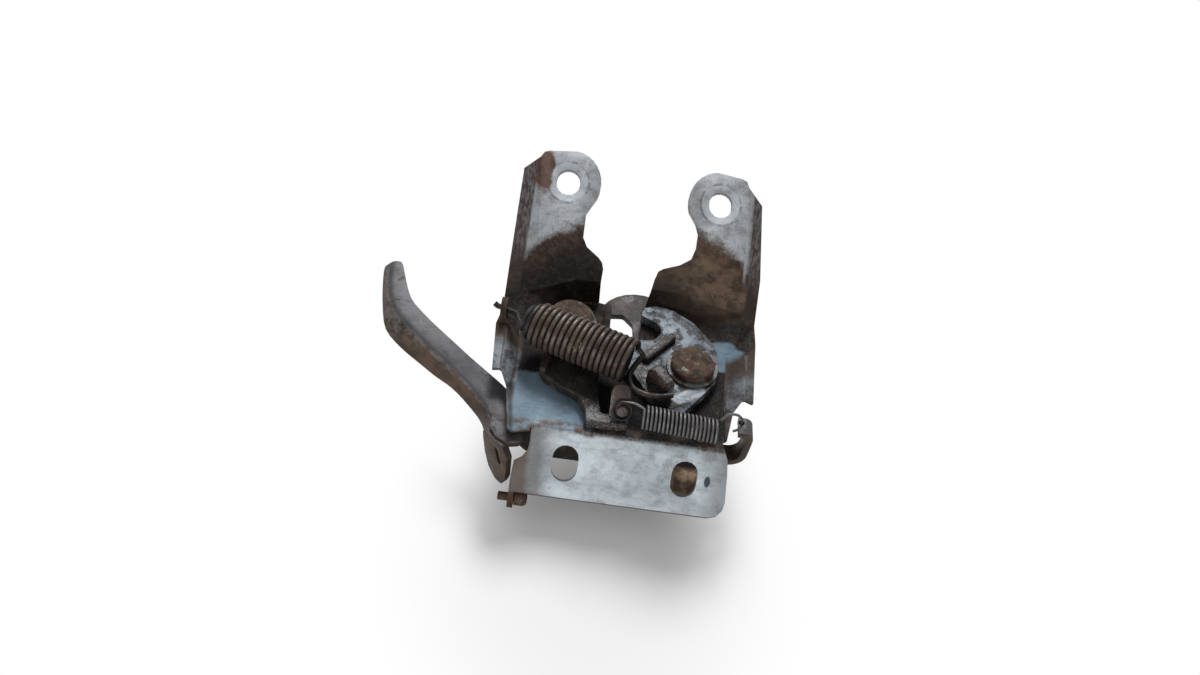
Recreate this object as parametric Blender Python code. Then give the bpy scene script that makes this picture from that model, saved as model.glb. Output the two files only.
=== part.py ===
"""Bonnet latch: a folded sheet base with two ears, a rotary claw, a pawl, two springs and a safety lever.

X runs across the latch, +Y up the latch towards the ears, +Z out of the floor of the base.
Sizes are in millimetres; the meshes are written in metres.
"""

import math

import bmesh
import bpy
from mathutils import Matrix, Vector

# Driving sizes
SHEET = 2.2            # thickness of the base sheet
BEND_R = 1.4           # rounding of the sheet's folds
WING_ANGLE = 28.0      # rise of the two wings from the floor
FLANGE_ANGLE = 56.0    # fall of the front flange from the floor
FLANGE_LEN = 25.0      # slant length of the front flange
BEND_Y = 2.6           # where the floor folds down into the front flange
EAR_Y = 100.4          # height of the ear holes up the latch
EAR_Z = 27.5           # height of the ear holes above the floor
EAR_X = 29.8           # half the distance between the ear holes
SLOT_W = 9.0           # width of every fixing slot
EAR_SLOT = 10.7        # length of the ear slots
FLANGE_SLOT = 13.2     # length of the flange slots
FLANGE_SLOT_S = 12.3   # distance of the flange slots down the flange

CLAW_PIN = (23.7, 34.0)     # axis of the claw
PAWL_PIN = (-21.7, 49.5)    # axis of the pawl
LEVER_PIN = (28.0, 8.0)     # axis of the safety lever
PLATE_LOW = 0.6             # underside of the claw and the pawl
PLATE_TOP = 4.4             # top of the claw and the pawl
PIN_R = 4.0                 # radius of the two main rivet shanks
LEVER_PIN_R = 2.3           # radius of the lever's rivet shank
HEAD_R = 8.0                # radius of the rivet heads
HEAD_H = 2.4                # height of the rivet heads
RUN = 0.06                  # radial running clearance
GAP = 0.3                   # clearance between neighbours

LIFT_WIRE = 1.0             # wire radius of the lift spring
LIFT_R = 7.3                # mean radius of the lift spring
LIFT_PITCH = 2.14
RETURN_WIRE = 0.48          # wire radius of the return spring
RETURN_R = 4.4              # mean radius of the return spring
RETURN_PITCH = 1.4

LEVER_T = 2.4               # thickness of the safety lever
LEVER_TOP = -SHEET - 0.5    # top of its flat part, under the floor

SEGMENTS = 40               # facets round a full circle

# the datum: centre of the front flange's outer face, at the height of its slots
fall = math.radians(FLANGE_ANGLE)
DATUM = Vector((
    3.7,
    BEND_Y - FLANGE_SLOT_S * math.cos(fall),
    -FLANGE_SLOT_S * math.sin(fall),
))

for old in list(bpy.data.objects):
    bpy.data.objects.remove(old, do_unlink=True)


# Materials
def material(name, colour, roughness, metallic):
    made = bpy.data.materials.new(name)
    made.use_nodes = True
    shader = made.node_tree.nodes["Principled BSDF"]
    shader.inputs["Base Color"].default_value = (*colour, 1.0)
    shader.inputs["Roughness"].default_value = roughness
    shader.inputs["Metallic"].default_value = metallic
    return made


ZINC = material("zinc_plate", (0.46, 0.49, 0.51), 0.5, 0.7)
CLAW_STEEL = material("claw_zinc", (0.52, 0.57, 0.60), 0.45, 0.7)
DARK_STEEL = material("greased_steel", (0.07, 0.06, 0.055), 0.45, 0.6)
RIVET_STEEL = material("rusty_rivet", (0.20, 0.11, 0.065), 0.7, 0.4)
WASHER_STEEL = material("washer_zinc", (0.55, 0.56, 0.56), 0.4, 0.8)
SPRING_RUST = material("rusty_spring", (0.16, 0.105, 0.075), 0.6, 0.5)
SPRING_STEEL = material("spring_steel", (0.34, 0.34, 0.33), 0.35, 0.9)
LEVER_STEEL = material("lever_steel", (0.20, 0.15, 0.11), 0.6, 0.5)


# Helpers
def finish(name, bm, surface, smooth=False):
    """Turns a bmesh in millimetres into a named object in metres, placed from the datum."""
    bmesh.ops.recalc_face_normals(bm, faces=bm.faces)
    for vertex in bm.verts:
        vertex.co = (vertex.co - DATUM) * 0.001
    mesh = bpy.data.meshes.new(name)
    bm.to_mesh(mesh)
    bm.free()
    made = bpy.data.objects.new(name, mesh)
    bpy.context.scene.collection.objects.link(made)
    if surface is not None:
        mesh.materials.append(surface)
    if smooth:
        for face in mesh.polygons:
            face.use_smooth = True
    return made


def rounded(corners, steps=4):
    """A closed outline from corners (x, y, radius), each corner turned into an arc."""
    outline = []
    count = len(corners)
    for i in range(count):
        here = Vector(corners[i][:2])
        before = Vector(corners[i - 1][:2]) - here
        after = Vector(corners[(i + 1) % count][:2]) - here
        radius = corners[i][2]
        if radius <= 0:
            outline.append((here.x, here.y))
            continue
        half = before.angle(after) / 2
        reach = min(radius / math.tan(half), 0.48 * before.length, 0.48 * after.length)
        start = here + before.normalized() * reach
        end = here + after.normalized() * reach
        for k in range(steps + 1):
            t = k / steps
            point = start * (1 - t) ** 2 + here * (2 * t * (1 - t)) + end * t ** 2
            outline.append((point.x, point.y))
    return outline


def circle(cx, cy, radius, segments=SEGMENTS):
    turn = 2 * math.pi / segments
    return [(cx + radius * math.cos(i * turn), cy + radius * math.sin(i * turn)) for i in range(segments)]


def slot_outline(cx, cy, width, length, steps=8):
    """An obround: straight sides along y, half circles at both ends."""
    radius = width / 2
    straight = length / 2 - radius
    points = []
    for end, first in ((1, 0.0), (-1, math.pi)):
        for k in range(steps + 1):
            angle = first + math.pi * k / steps
            points.append((cx + radius * math.cos(angle), cy + end * straight + radius * math.sin(angle)))
    return points


def prism(outline, low, high, frame=None):
    """A bmesh prism from a 2-D outline; frame places it in space."""
    bm = bmesh.new()
    face = bm.faces.new([bm.verts.new((x, y, low)) for x, y in outline])
    pulled = bmesh.ops.extrude_face_region(bm, geom=[face])
    risen = [item for item in pulled["geom"] if isinstance(item, bmesh.types.BMVert)]
    bmesh.ops.translate(bm, verts=risen, vec=(0, 0, high - low))
    if frame is not None:
        bmesh.ops.transform(bm, matrix=frame, verts=bm.verts)
    return bm


def chamfer_rims(bm, size, level=None):
    """Takes a small chamfer off the rims of a flat prism, the way a sheared edge wears."""
    rims = []
    for edge in bm.edges:
        ends = [v.co.z for v in edge.verts]
        if abs(ends[0] - ends[1]) < 1e-6 and len(edge.link_faces) == 2:
            if any(abs(abs(f.normal.z) - 1) < 1e-4 for f in edge.link_faces):
                if level is None or abs(ends[0] - level) < 1e-6:
                    rims.append(edge)
    bmesh.ops.bevel(bm, geom=rims, offset=size, segments=1, affect="EDGES", clamp_overlap=True)


def hide(helper):
    helper.hide_render = True
    helper.display_type = "WIRE"
    return helper


def carve(target, tool, operation="DIFFERENCE"):
    step = target.modifiers.new(operation.lower(), "BOOLEAN")
    step.operation = operation
    step.solver = "EXACT"
    step.object = hide(tool)


def cut(target, name, outline, low, high, frame=None):
    carve(target, finish(name, prism(outline, low, high, frame), None))


def revolve(profile, centre, segments=SEGMENTS):
    """A turned piece about +Z from (radius, z) points that start and end on the axis."""
    bm = bmesh.new()
    points = [bm.verts.new((radius, 0, z)) for radius, z in profile]
    edges = [bm.edges.new(pair) for pair in zip(points, points[1:])]
    bmesh.ops.spin(bm, geom=points + edges, axis=(0, 0, 1), cent=(0, 0, 0),
                   steps=segments, angle=2 * math.pi, use_duplicate=False)
    bmesh.ops.remove_doubles(bm, verts=bm.verts, dist=1e-5)
    bmesh.ops.translate(bm, verts=bm.verts, vec=(centre[0], centre[1], 0))
    return bm


def ring(inner, outer, low, high, centre, segments=SEGMENTS):
    """A flat washer."""
    bm = bmesh.new()
    corners = [(inner, low), (outer, low), (outer, high), (inner, high)]
    points = [bm.verts.new((radius, 0, z)) for radius, z in corners]
    edges = [bm.edges.new((points[i], points[(i + 1) % 4])) for i in range(4)]
    bmesh.ops.spin(bm, geom=points + edges, axis=(0, 0, 1), cent=(0, 0, 0),
                   steps=segments, angle=2 * math.pi, use_duplicate=False)
    bmesh.ops.remove_doubles(bm, verts=bm.verts, dist=1e-5)
    bmesh.ops.translate(bm, verts=bm.verts, vec=(centre[0], centre[1], 0))
    return bm


def wire(name, path, radius, surface, sides=8):
    """A round wire along a path of points, with closed ends."""
    bm = bmesh.new()
    points = [Vector(p) for p in path]
    rings = []
    side = None
    for i, point in enumerate(points):
        ahead = points[min(i + 1, len(points) - 1)] - points[max(i - 1, 0)]
        ahead.normalize()
        if side is None:
            side = ahead.orthogonal().normalized()
        side = (side - ahead * side.dot(ahead)).normalized()
        other = ahead.cross(side)
        rings.append([
            bm.verts.new(point + (side * math.cos(a) + other * math.sin(a)) * radius)
            for a in (2 * math.pi * k / sides for k in range(sides))
        ])
    for here, after in zip(rings, rings[1:]):
        for k in range(sides):
            bm.faces.new((here[k], here[(k + 1) % sides], after[(k + 1) % sides], after[k]))
    bm.faces.new(list(reversed(rings[0])))
    bm.faces.new(rings[-1])
    return finish(name, bm, surface, smooth=True)


def smooth_path(points, steps=5):
    """A Catmull-Rom curve through the points."""
    ends = [Vector(p) for p in points]
    padded = [ends[0] * 2 - ends[1], *ends, ends[-1] * 2 - ends[-2]]
    out = []
    for i in range(1, len(padded) - 2):
        a, b, c, d = padded[i - 1:i + 3]
        for k in range(steps):
            t = k / steps
            out.append(0.5 * ((2 * b) + (c - a) * t + (2 * a - 5 * b + 4 * c - d) * t * t
                              + (3 * b - a - 3 * c + d) * t ** 3))
    out.append(ends[-1])
    return out


def sheet_object(name, faces, folds, depth, surface, radius):
    """A folded sheet: outer-skin polygons, rounded along the named folds, then thickened inwards."""
    bm = bmesh.new()
    made = {}

    def corner(point):
        key = tuple(round(c, 4) for c in point)
        if key not in made:
            made[key] = bm.verts.new(point)
        return made[key]

    for polygon in faces:
        bm.faces.new([corner(p) for p in polygon])
    bmesh.ops.recalc_face_normals(bm, faces=bm.faces)
    if sum(face.normal.z * face.calc_area() for face in bm.faces) < 0:
        bmesh.ops.reverse_faces(bm, faces=bm.faces)
    if radius > 0:
        marked = []
        for a, b in folds:
            edge = bm.edges.get((corner(a), corner(b)))
            if edge is not None:
                marked.append(edge)
        bmesh.ops.bevel(bm, geom=marked, offset=radius, segments=2, affect="EDGES",
                        clamp_overlap=True, profile=0.5)
    bmesh.ops.triangulate(bm, faces=bm.faces)
    bmesh.ops.recalc_face_normals(bm, faces=bm.faces)
    if sum(face.normal.z * face.calc_area() for face in bm.faces) < 0:
        bmesh.ops.reverse_faces(bm, faces=bm.faces)
    bm.normal_update()
    # the inner skin: the outer one moved by the depth, so that the two can never cross
    inner = {v: bm.verts.new(v.co + Vector(depth)) for v in list(bm.verts)}
    rims = [edge for edge in bm.edges if len(edge.link_faces) == 1]
    rim_pairs = []
    for edge in rims:
        loop = edge.link_loops[0]
        rim_pairs.append((loop.vert, loop.link_loop_next.vert))
    for face in list(bm.faces):
        bm.faces.new([inner[v] for v in reversed(face.verts)])
    for a, b in rim_pairs:
        bm.faces.new((b, a, inner[a], inner[b]))
    return finish(name, bm, surface)


# Base plate
WING_RISE = math.tan(math.radians(WING_ANGLE))


def wing(x, y):
    """A point on the wings' outer face."""
    return (x, y, EAR_Z + WING_RISE * (y - EAR_Y))


def flange(x, down):
    """A point on the front flange's outer face, a distance down its slant."""
    return (x, BEND_Y - down * math.cos(fall), -down * math.sin(fall))


def arc(cx, cy, radius, first, last, steps):
    return [
        (cx + radius * math.cos(math.radians(first + (last - first) * k / steps)),
         cy + radius * math.sin(math.radians(first + (last - first) * k / steps)))
        for k in range(steps + 1)
    ]


WING_FOOT_Y = EAR_Y - EAR_Z / WING_RISE      # where the wings' plane meets the floor
LIP_Z = 5.5

faces = []
folds = []

# right wing, from its foot round the throat side, the ear and the outer fold
r_foot = (39.5, WING_FOOT_Y)
r_mid = (17.0, 66.6)
r_in = (6.9, 66.8)
r_ear = arc(EAR_X - 1.0, EAR_Y + 0.2, 11.6, 200, 95, 9)
r_contour = [wing(*p) for p in (
    r_in, (7.6, 70.2), (8.6, 73.2), (10.4, 74.4), (16.6, 76.6), (20.6, 79.2), (22.2, 84.0), (22.4, 89.2),
    (21.0, 92.6), *r_ear, (37.6, 111.2), (39.4, 110.4), (40.3, 108.4))]
r_fold = [wing(*p) for p in ((42.8, 78.4), (43.2, 62.0))]
r_base = (*r_foot, 0.0)
faces.append([*r_contour, *r_fold, wing(*r_mid)])

# left wing
l_foot = (-39.5, WING_FOOT_Y)
l_mid = (-22.0, 66.2)
l_in = (-12.4, 66.6)
l_ear = arc(-EAR_X + 1.0, EAR_Y + 0.2, 11.6, -20, 85, 9)
l_contour = [wing(*p) for p in (
    l_in, (-12.2, 71.2), (-12.9, 73.4), (-14.4, 75.0), (-19.4, 78.2), (-21.3, 81.4), (-21.4, 90.4), *l_ear,
    (-38.8, 110.9), (-40.6, 110.2), (-41.6, 108.4))]
l_fold = [wing(*p) for p in ((-37.6, 76.0), (-38.6, 60.0))]
l_base = (*l_foot, 0.0)
faces.append([*reversed(l_contour), wing(*l_mid), *reversed(l_fold)])

# the steep steps between the floor and the wings' lower edges
r_step = [(5.6, 65.0, 0.0), (17.0, 64.2, 0.0), r_base]
l_step = [(-11.8, 64.6, 0.0), (-22.0, 63.6, 0.0), l_base]
faces.append([r_step[0], r_step[1], wing(*r_mid), wing(*r_in)])
faces.append([r_step[1], r_base, r_fold[1], wing(*r_mid)])
faces.append([l_step[1], l_step[0], wing(*l_in), wing(*l_mid)])
faces.append([l_base, l_step[1], wing(*l_mid), l_fold[1]])
folds += [(r_step[0], r_step[1]), (r_step[1], r_base), (l_step[0], l_step[1]), (l_step[1], l_base)]

# outer strips of the wings: bent back beside the ears, level at the waist, then up to the lips
r_outer = [(46.8, 105.6, 25.9), (48.6, 78.0, 11.6), (47.4, 60.0, 4.6), (47.6, 50.0, 4.6)]
l_outer = [(-47.6, 106.2, 26.6), (-47.5, 75.6, 10.2), (-47.2, 58.0, 4.0), (-47.2, 49.0, 4.8)]
r_inner = [r_contour[-1], *r_fold, r_base]
l_inner = [l_contour[-1], *l_fold, l_base]
for k in range(3):
    faces.append([r_inner[k], r_outer[k], r_outer[k + 1], r_inner[k + 1]])
    faces.append([l_inner[k + 1], l_outer[k + 1], l_outer[k], l_inner[k]])

# side walls with outward lips
r_floor = [(38.6, 43.0, 0.0), (36.4, 22.0, 0.0), (36.0, 17.0, 0.0), (35.9, 6.0, 0.0)]
r_top = [(43.6, 43.0, LIP_Z), (42.4, 22.0, LIP_Z), (39.0, 17.0, 3.0), (37.2, 6.0, 1.0)]
r_lip = [(47.0, 43.0, LIP_Z), (45.8, 20.6, LIP_Z)]
l_floor = [(-39.4, 43.0, 0.0), (-39.0, 22.0, 0.0), (-38.4, 17.0, 0.0), (-36.4, -1.4, 0.0)]
l_top = [(-44.2, 43.0, LIP_Z), (-43.4, 21.0, LIP_Z), (-40.8, 16.4, 2.6), (-38.0, -1.2, 1.6)]
l_lip = [(-48.2, 42.0, LIP_Z), (-46.4, 20.4, LIP_Z)]
faces.append([r_base, r_outer[3], r_top[0]])
faces.append([r_outer[3], r_lip[0], r_top[0]])
faces.append([r_base, r_top[0], r_floor[0]])
faces.append([r_top[0], r_lip[0], r_lip[1], r_top[1]])
faces.append([l_top[0], l_outer[3], l_base])
faces.append([l_top[0], l_lip[0], l_outer[3]])
faces.append([l_floor[0], l_top[0], l_base])
faces.append([l_top[1], l_lip[1], l_lip[0], l_top[0]])
for k in range(3):
    faces.append([r_floor[k], r_top[k], r_top[k + 1], r_floor[k + 1]])
    faces.append([l_floor[k + 1], l_top[k + 1], l_top[k], l_floor[k]])
    folds += [(r_floor[k], r_floor[k + 1]), (l_floor[k], l_floor[k + 1])]
folds += [(r_top[0], r_top[1]), (l_top[0], l_top[1]), (r_base, r_floor[0]), (l_base, l_floor[0])]

# floor, with a tongue at its front left corner, and the front flange
bend_right = (36.6, BEND_Y, 0.0)
bend_left = (-30.0, BEND_Y, 0.0)
tongue = (-30.4, 0.4, 0.0)
faces.append([
    bend_left, bend_right, *reversed(r_floor), r_base, r_step[1], r_step[0],
    l_step[0], l_step[1], l_base, *l_floor, tongue,
])
faces.append([
    flange(-29.8, 5.6), flange(-30.2, 9.0), flange(-31.8, 11.6), flange(-34.4, 13.4), flange(-34.9, 20.8),
    flange(-34.0, FLANGE_LEN - 0.3), flange(34.8, FLANGE_LEN), flange(37.8, FLANGE_LEN - 0.9),
    flange(39.4, FLANGE_LEN - 3.0), flange(39.9, FLANGE_LEN - 6.0), flange(39.0, 9.0), flange(38.2, 3.4),
    bend_right, bend_left,
])
folds.append((bend_left, bend_right))

base = sheet_object("base_plate", faces, folds, (0, 0.45 * SHEET, -SHEET), ZINC, BEND_R)

# fixing slots
tilt_wing = Matrix.Rotation(math.radians(WING_ANGLE), 4, "X")
tilt_flange = Matrix.Rotation(fall, 4, "X")
for label, x in (("left", -EAR_X), ("right", EAR_X)):
    place = Matrix.Translation((x, EAR_Y, EAR_Z)) @ tilt_wing
    cut(base, f"{label}_ear_slot", slot_outline(0, 0, SLOT_W, EAR_SLOT), -6, 6, place)
for label, x in (("left", -17.0), ("right", 24.4)):
    place = Matrix.Translation(flange(x, FLANGE_SLOT_S)) @ tilt_flange
    cut(base, f"{label}_flange_slot", slot_outline(0, 0, SLOT_W, FLANGE_SLOT), -6, 6, place)

# striker throat, open at the top
THROAT = (-6.8, 4.9)
throat_r = (THROAT[1] - THROAT[0]) / 2
throat_mid = (THROAT[1] + THROAT[0]) / 2
THROAT_FOOT = 36.5
throat = [(throat_mid + throat_r * math.cos(a), THROAT_FOOT + throat_r * math.sin(a))
          for a in (math.pi + math.pi * k / 12 for k in range(13))]
throat += [(THROAT[1], 70.0), (THROAT[0], 70.0)]
cut(base, "throat_cutter", throat, -8, 5)

# holes for the three rivets
pins = (("claw", CLAW_PIN, PIN_R), ("pawl", PAWL_PIN, PIN_R), ("lever", LEVER_PIN, LEVER_PIN_R))
for label, pin, radius in pins:
    cut(base, f"{label}_hole", circle(*pin, radius + RUN), -8, 5)

# upturned rim on the left of the throat
rim = prism([(-9.4, 47.0), (-7.1, 47.0), (-7.1, 62.5), (-9.4, 62.5)], -1.0, 2.6)
carve(base, finish("throat_rim", rim, None), "UNION")

# anchor lug for the lift spring, standing on the left strip, with the hole the wire goes through
ANCHOR = (-46.0, 46.4, 9.4)
UPRIGHT = Matrix.Rotation(math.radians(90), 4, "X")
ACROSS = Matrix.Rotation(math.radians(90), 4, "Z") @ UPRIGHT
lug_frame = Matrix.Translation((ANCHOR[0], 0, 0)) @ ACROSS
lug_outline = [(42.6, 3.4, 0), (50.6, 3.4, 0), (50.6, 11.0, 3.0), (46.8, 13.4, 3.0), (42.8, 11.4, 3.0)]
lug = prism(rounded(lug_outline), -1.1, 1.1, lug_frame)
carve(base, finish("spring_lug", lug, None), "UNION")
cut(base, "lug_hole", circle(ANCHOR[1], ANCHOR[2], LIFT_WIRE + 0.8, 16), -4, 4, lug_frame)

# tab at the flange's lower left corner, turned back, with the hole of its pin
tab_frame = Matrix.Translation(flange(-33.9, 0)) @ tilt_flange @ ACROSS
tab = prism(rounded([(-21.0, -7.0, 1.5), (-21.0, -0.4, 0), (-31.6, -0.4, 2.2), (-31.6, -7.0, 2.6)]),
            -1.0, 1.0, tab_frame)
carve(base, finish("flange_tab", tab, None), "UNION")
TAB_PIN = (-28.4, -3.9)
cut(base, "tab_hole", circle(*TAB_PIN, 1.5 + RUN, 20), -4, 4, tab_frame)

# Claw
claw_outline = rounded([
    (5.0, 61.4, 1.2), (9.2, 63.6, 3.0), (16.0, 62.4, 5.0), (24.4, 57.0, 7.0), (32.4, 46.5, 7.0),
    (34.0, 38.0, 7.0), (32.4, 28.6, 5.0), (21.0, 12.8, 1.6), (15.4, 13.0, 1.4), (17.2, 20.2, 2.0),
    (9.0, 18.6, 3.0), (3.0, 27.6, 4.0), (-4.4, 35.6, 3.0), (-8.3, 38.6, 2.4), (-7.8, 44.2, 3.0),
    (4.5, 45.6, 4.0), (11.4, 46.6, 3.0), (11.8, 51.8, 3.0), (4.4, 56.8, 1.2),
], 4)
claw_solid = prism(claw_outline, PLATE_LOW, PLATE_TOP)
chamfer_rims(claw_solid, 0.35)
claw = finish("claw", claw_solid, CLAW_STEEL)
# spring post, bent up from the claw's lower edge
post_frame = Matrix.Translation((11.0, 24.2, 0)) @ Matrix.Rotation(math.radians(-62), 4, "Z") @ UPRIGHT
post = prism(rounded([(-4.4, 2.0, 0), (4.4, 2.0, 0), (4.6, 11.0, 2.0), (2.6, 13.0, 1.5), (-3.0, 13.4, 2.5),
                      (-4.6, 10.0, 2.0)]), -1.3, 1.3, post_frame)
carve(claw, finish("claw_post", post, None), "UNION")
# raised rib across the claw
rib_frame = Matrix.Translation((11.2, 42.4, 0)) @ Matrix.Rotation(math.radians(54), 4, "Z")
rib = prism(rounded([(-9.6, -1.2, 1.0), (9.6, -1.0, 1.0), (9.6, 1.0, 1.0), (-9.6, 1.2, 1.0)], 2),
            2.0, PLATE_TOP + 1.1, rib_frame)
chamfer_rims(rib, 0.4)
carve(claw, finish("claw_rib", rib, None), "UNION")
cut(claw, "claw_bore", circle(*CLAW_PIN, PIN_R + RUN), -2, 9)

# Pawl
pawl_outline = rounded([
    (-31.6, 52.0, 9.0), (-26.0, 60.6, 7.0), (-15.6, 59.4, 7.0), (-11.4, 50.0, 7.0), (-11.2, 40.0, 4.0),
    (-9.8, 33.0, 2.0), (-9.1, 31.2, 0.8), (-9.3, 25.4, 1.2), (-10.4, 22.0, 2.0), (-7.9, 12.0, 3.0),
    (-7.4, 8.4, 1.4), (-4.0, 8.2, 0.6), (2.2, 8.2, 0.6), (2.4, 4.2, 1.6), (-12.4, 3.8, 2.0), (-12.9, 9.6, 4.0),
    (-16.4, 15.0, 4.0), (-22.4, 17.6, 4.0), (-29.6, 22.2, 4.0), (-30.2, 28.6, 3.0), (-27.4, 33.4, 4.0),
], 4)
pawl_solid = prism(pawl_outline, PLATE_LOW, PLATE_TOP)
chamfer_rims(pawl_solid, 0.35)
pawl = finish("pawl", pawl_solid, DARK_STEEL)
# finger for the return spring, bent up at the pawl's foot, with the boss its loop sits on
FINGER_LEAN = math.radians(56)
finger_frame = Matrix.Translation((-1.4, 7.0, PLATE_TOP - 1.4)) @ Matrix.Rotation(FINGER_LEAN, 4, "X")
finger = prism(rounded([(-3.2, -2.2, 0), (3.2, -2.2, 0), (3.4, 3.0, 2.0), (3.2, 12.6, 3.2), (-3.4, 12.6, 3.2),
                        (-3.2, 3.0, 2.0)], 4), -1.1, 1.2, finger_frame)
carve(pawl, finish("pawl_finger", finger, None), "UNION")
BOSS = (1.0, 4.2)
boss = prism(circle(*BOSS, 1.8, 20), 0.4, 3.4, finger_frame)
carve(pawl, finish("finger_boss", boss, None), "UNION")
# curled lip of the cable lobe
lip_frame = Matrix.Translation((-28.0, 26.8, 0)) @ Matrix.Rotation(math.radians(-12), 4, "Z")
lip_outline = [(-1.6, -3.8, 0.8), (0.9, -4.2, 0.8), (1.3, 3.6, 1.0), (-1.2, 4.0, 1.0)]
lip = prism(rounded(lip_outline), 1.5, PLATE_TOP + 1.5, lip_frame)
chamfer_rims(lip, 0.5)
carve(pawl, finish("pawl_lip", lip, None), "UNION")
cut(pawl, "pawl_bore", circle(*PAWL_PIN, PIN_R + RUN), -2, 9)


# Rivets and washers
def rivet(name, pin, radius, head_radius, head_low, head_height, tail_radius, tail_high, tail_height):
    low = head_low
    top = head_low + head_height
    foot = tail_high - tail_height
    profile = [
        (0.0, foot), (tail_radius * 0.8, foot), (tail_radius, foot + tail_height * 0.35),
        (tail_radius, tail_high), (radius, tail_high), (radius, low), (head_radius - 0.3, low),
        (head_radius, low + 0.3),
        (head_radius, low + head_height * 0.55), (head_radius * 0.93, low + head_height * 0.85),
        (head_radius * 0.8, top), (0.0, top + 0.15),
    ]
    return finish(name, revolve(profile, pin), RIVET_STEEL, smooth=False)


WASHER_T = 0.8
head_low = PLATE_TOP + GAP + WASHER_T + GAP
rivet("claw_rivet", CLAW_PIN, PIN_R, HEAD_R, head_low, HEAD_H, 6.0, -SHEET - 0.1, 1.9)
rivet("pawl_rivet", PAWL_PIN, PIN_R, HEAD_R, head_low, HEAD_H, 6.0, -SHEET - 0.1, 1.9)
finish("claw_washer", ring(PIN_R + RUN, HEAD_R + 1.4, PLATE_TOP + GAP, PLATE_TOP + GAP + WASHER_T, CLAW_PIN),
       WASHER_STEEL)
finish("pawl_washer", ring(PIN_R + RUN, HEAD_R + 0.8, PLATE_TOP + GAP, PLATE_TOP + GAP + WASHER_T, PAWL_PIN),
       WASHER_STEEL)

# lever rivet: flat head on the floor, tail under the lever
rivet("lever_rivet", LEVER_PIN, LEVER_PIN_R, 3.6, 0.1, 1.1, 3.8, LEVER_TOP - LEVER_T - GAP, 1.4)

# pin in the flange's tab, across the latch
pin_profile = [(0.0, -4.6), (1.5, -4.6), (1.5, 1.2), (2.7, 1.2), (2.7, 4.6), (1.9, 5.6), (0.0, 5.8)]
pin_bm = revolve(pin_profile, TAB_PIN, 20)
bmesh.ops.transform(pin_bm, matrix=tab_frame, verts=pin_bm.verts)
finish("tab_pin", pin_bm, RIVET_STEEL)

# Lift spring
lift_a = Vector((-34.2, 37.6, 13.4))
lift_b = Vector((0.6, 25.2, 13.4))
axis = (lift_b - lift_a).normalized()
turns = (lift_b - lift_a).length / LIFT_PITCH
across = Vector((0, 0, 1))
beside = axis.cross(across).normalized()
per_turn = 16
path = []
count = int(turns * per_turn)
for k in range(count + 1):
    turn = k / per_turn
    swell = min(1.0, 0.62 + 0.38 * turn / 2.2)
    angle = 2 * math.pi * turn
    path.append(lift_a + axis * (turn * LIFT_PITCH)
                + (beside * math.cos(angle) + across * math.sin(angle)) * LIFT_R * swell)
first = path[0]
last = path[-1]
lead_in = smooth_path([
    (ANCHOR[0] - 4.4, ANCHOR[1] + 1.8, ANCHOR[2] + 1.6), (ANCHOR[0] - 2.6, ANCHOR[1] + 0.6, ANCHOR[2] + 0.2),
    ANCHOR, (ANCHOR[0] + 3.4, ANCHOR[1] - 1.4, ANCHOR[2] - 0.2),
    (ANCHOR[0] + 7.6, ANCHOR[1] - 3.6, ANCHOR[2] + 0.4)], 4)
lead_out = smooth_path([
    (last.x + 2.2, last.y - 1.6, last.z - 1.6), (2.2, 27.2, 9.6), (0.6, 22.6, 8.8), (2.4, 17.6, 8.6),
    (7.0, 14.6, 8.6), (12.4, 15.0, 8.6), (16.0, 18.2, 8.8), (16.0, 22.0, 9.2)], 4)
wire("lift_spring", [*lead_in, *path, *lead_out], LIFT_WIRE, SPRING_RUST)

# Return spring
return_a = Vector((6.8, 6.0, 7.4))
return_b = Vector((34.0, 6.6, 7.4))
axis = (return_b - return_a).normalized()
across = Vector((0, 0, 1))
beside = axis.cross(across).normalized()
turns = (return_b - return_a).length / RETURN_PITCH
per_turn = 14
path = []
coil_steps = int((int(turns) - 0.25) * per_turn)
for k in range(coil_steps + 1):
    turn = k / per_turn
    angle = math.pi / 2 - 2 * math.pi * turn
    path.append(return_a + axis * (turn * RETURN_PITCH)
                + (beside * math.cos(angle) + across * math.sin(angle)) * RETURN_R)
last = path[-1]
left_loop = []
for k in range(17):
    angle = math.radians(90 + 312 * (1 - k / 16))
    left_loop.append(finger_frame @ Vector((
        BOSS[0] + 3.2 * math.cos(angle), BOSS[1] + 3.2 * math.sin(angle), 1.95 + 0.055 * k)))
lead_in = [*left_loop[:-1], *smooth_path([left_loop[-1], (2.8, 8.6, 11.4), (5.0, 7.3, 11.9)], 3)]
LIP_HOLE = (41.6, 11.8)
lead_out = smooth_path([
    (last.x + 0.6, last.y + 0.1, last.z + 1.6), (36.4, 11.8, 9.6), (39.4, LIP_HOLE[1], 8.6),
    (41.3, LIP_HOLE[1], 6.8), (LIP_HOLE[0], LIP_HOLE[1], 4.6), (LIP_HOLE[0], LIP_HOLE[1], 2.4),
    (40.8, LIP_HOLE[1] - 0.2, 0.9), (39.4, 11.2, 0.4)], 3)
wire("return_spring", [*lead_in, *path, *lead_out], RETURN_WIRE, SPRING_STEEL, 6)

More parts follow.
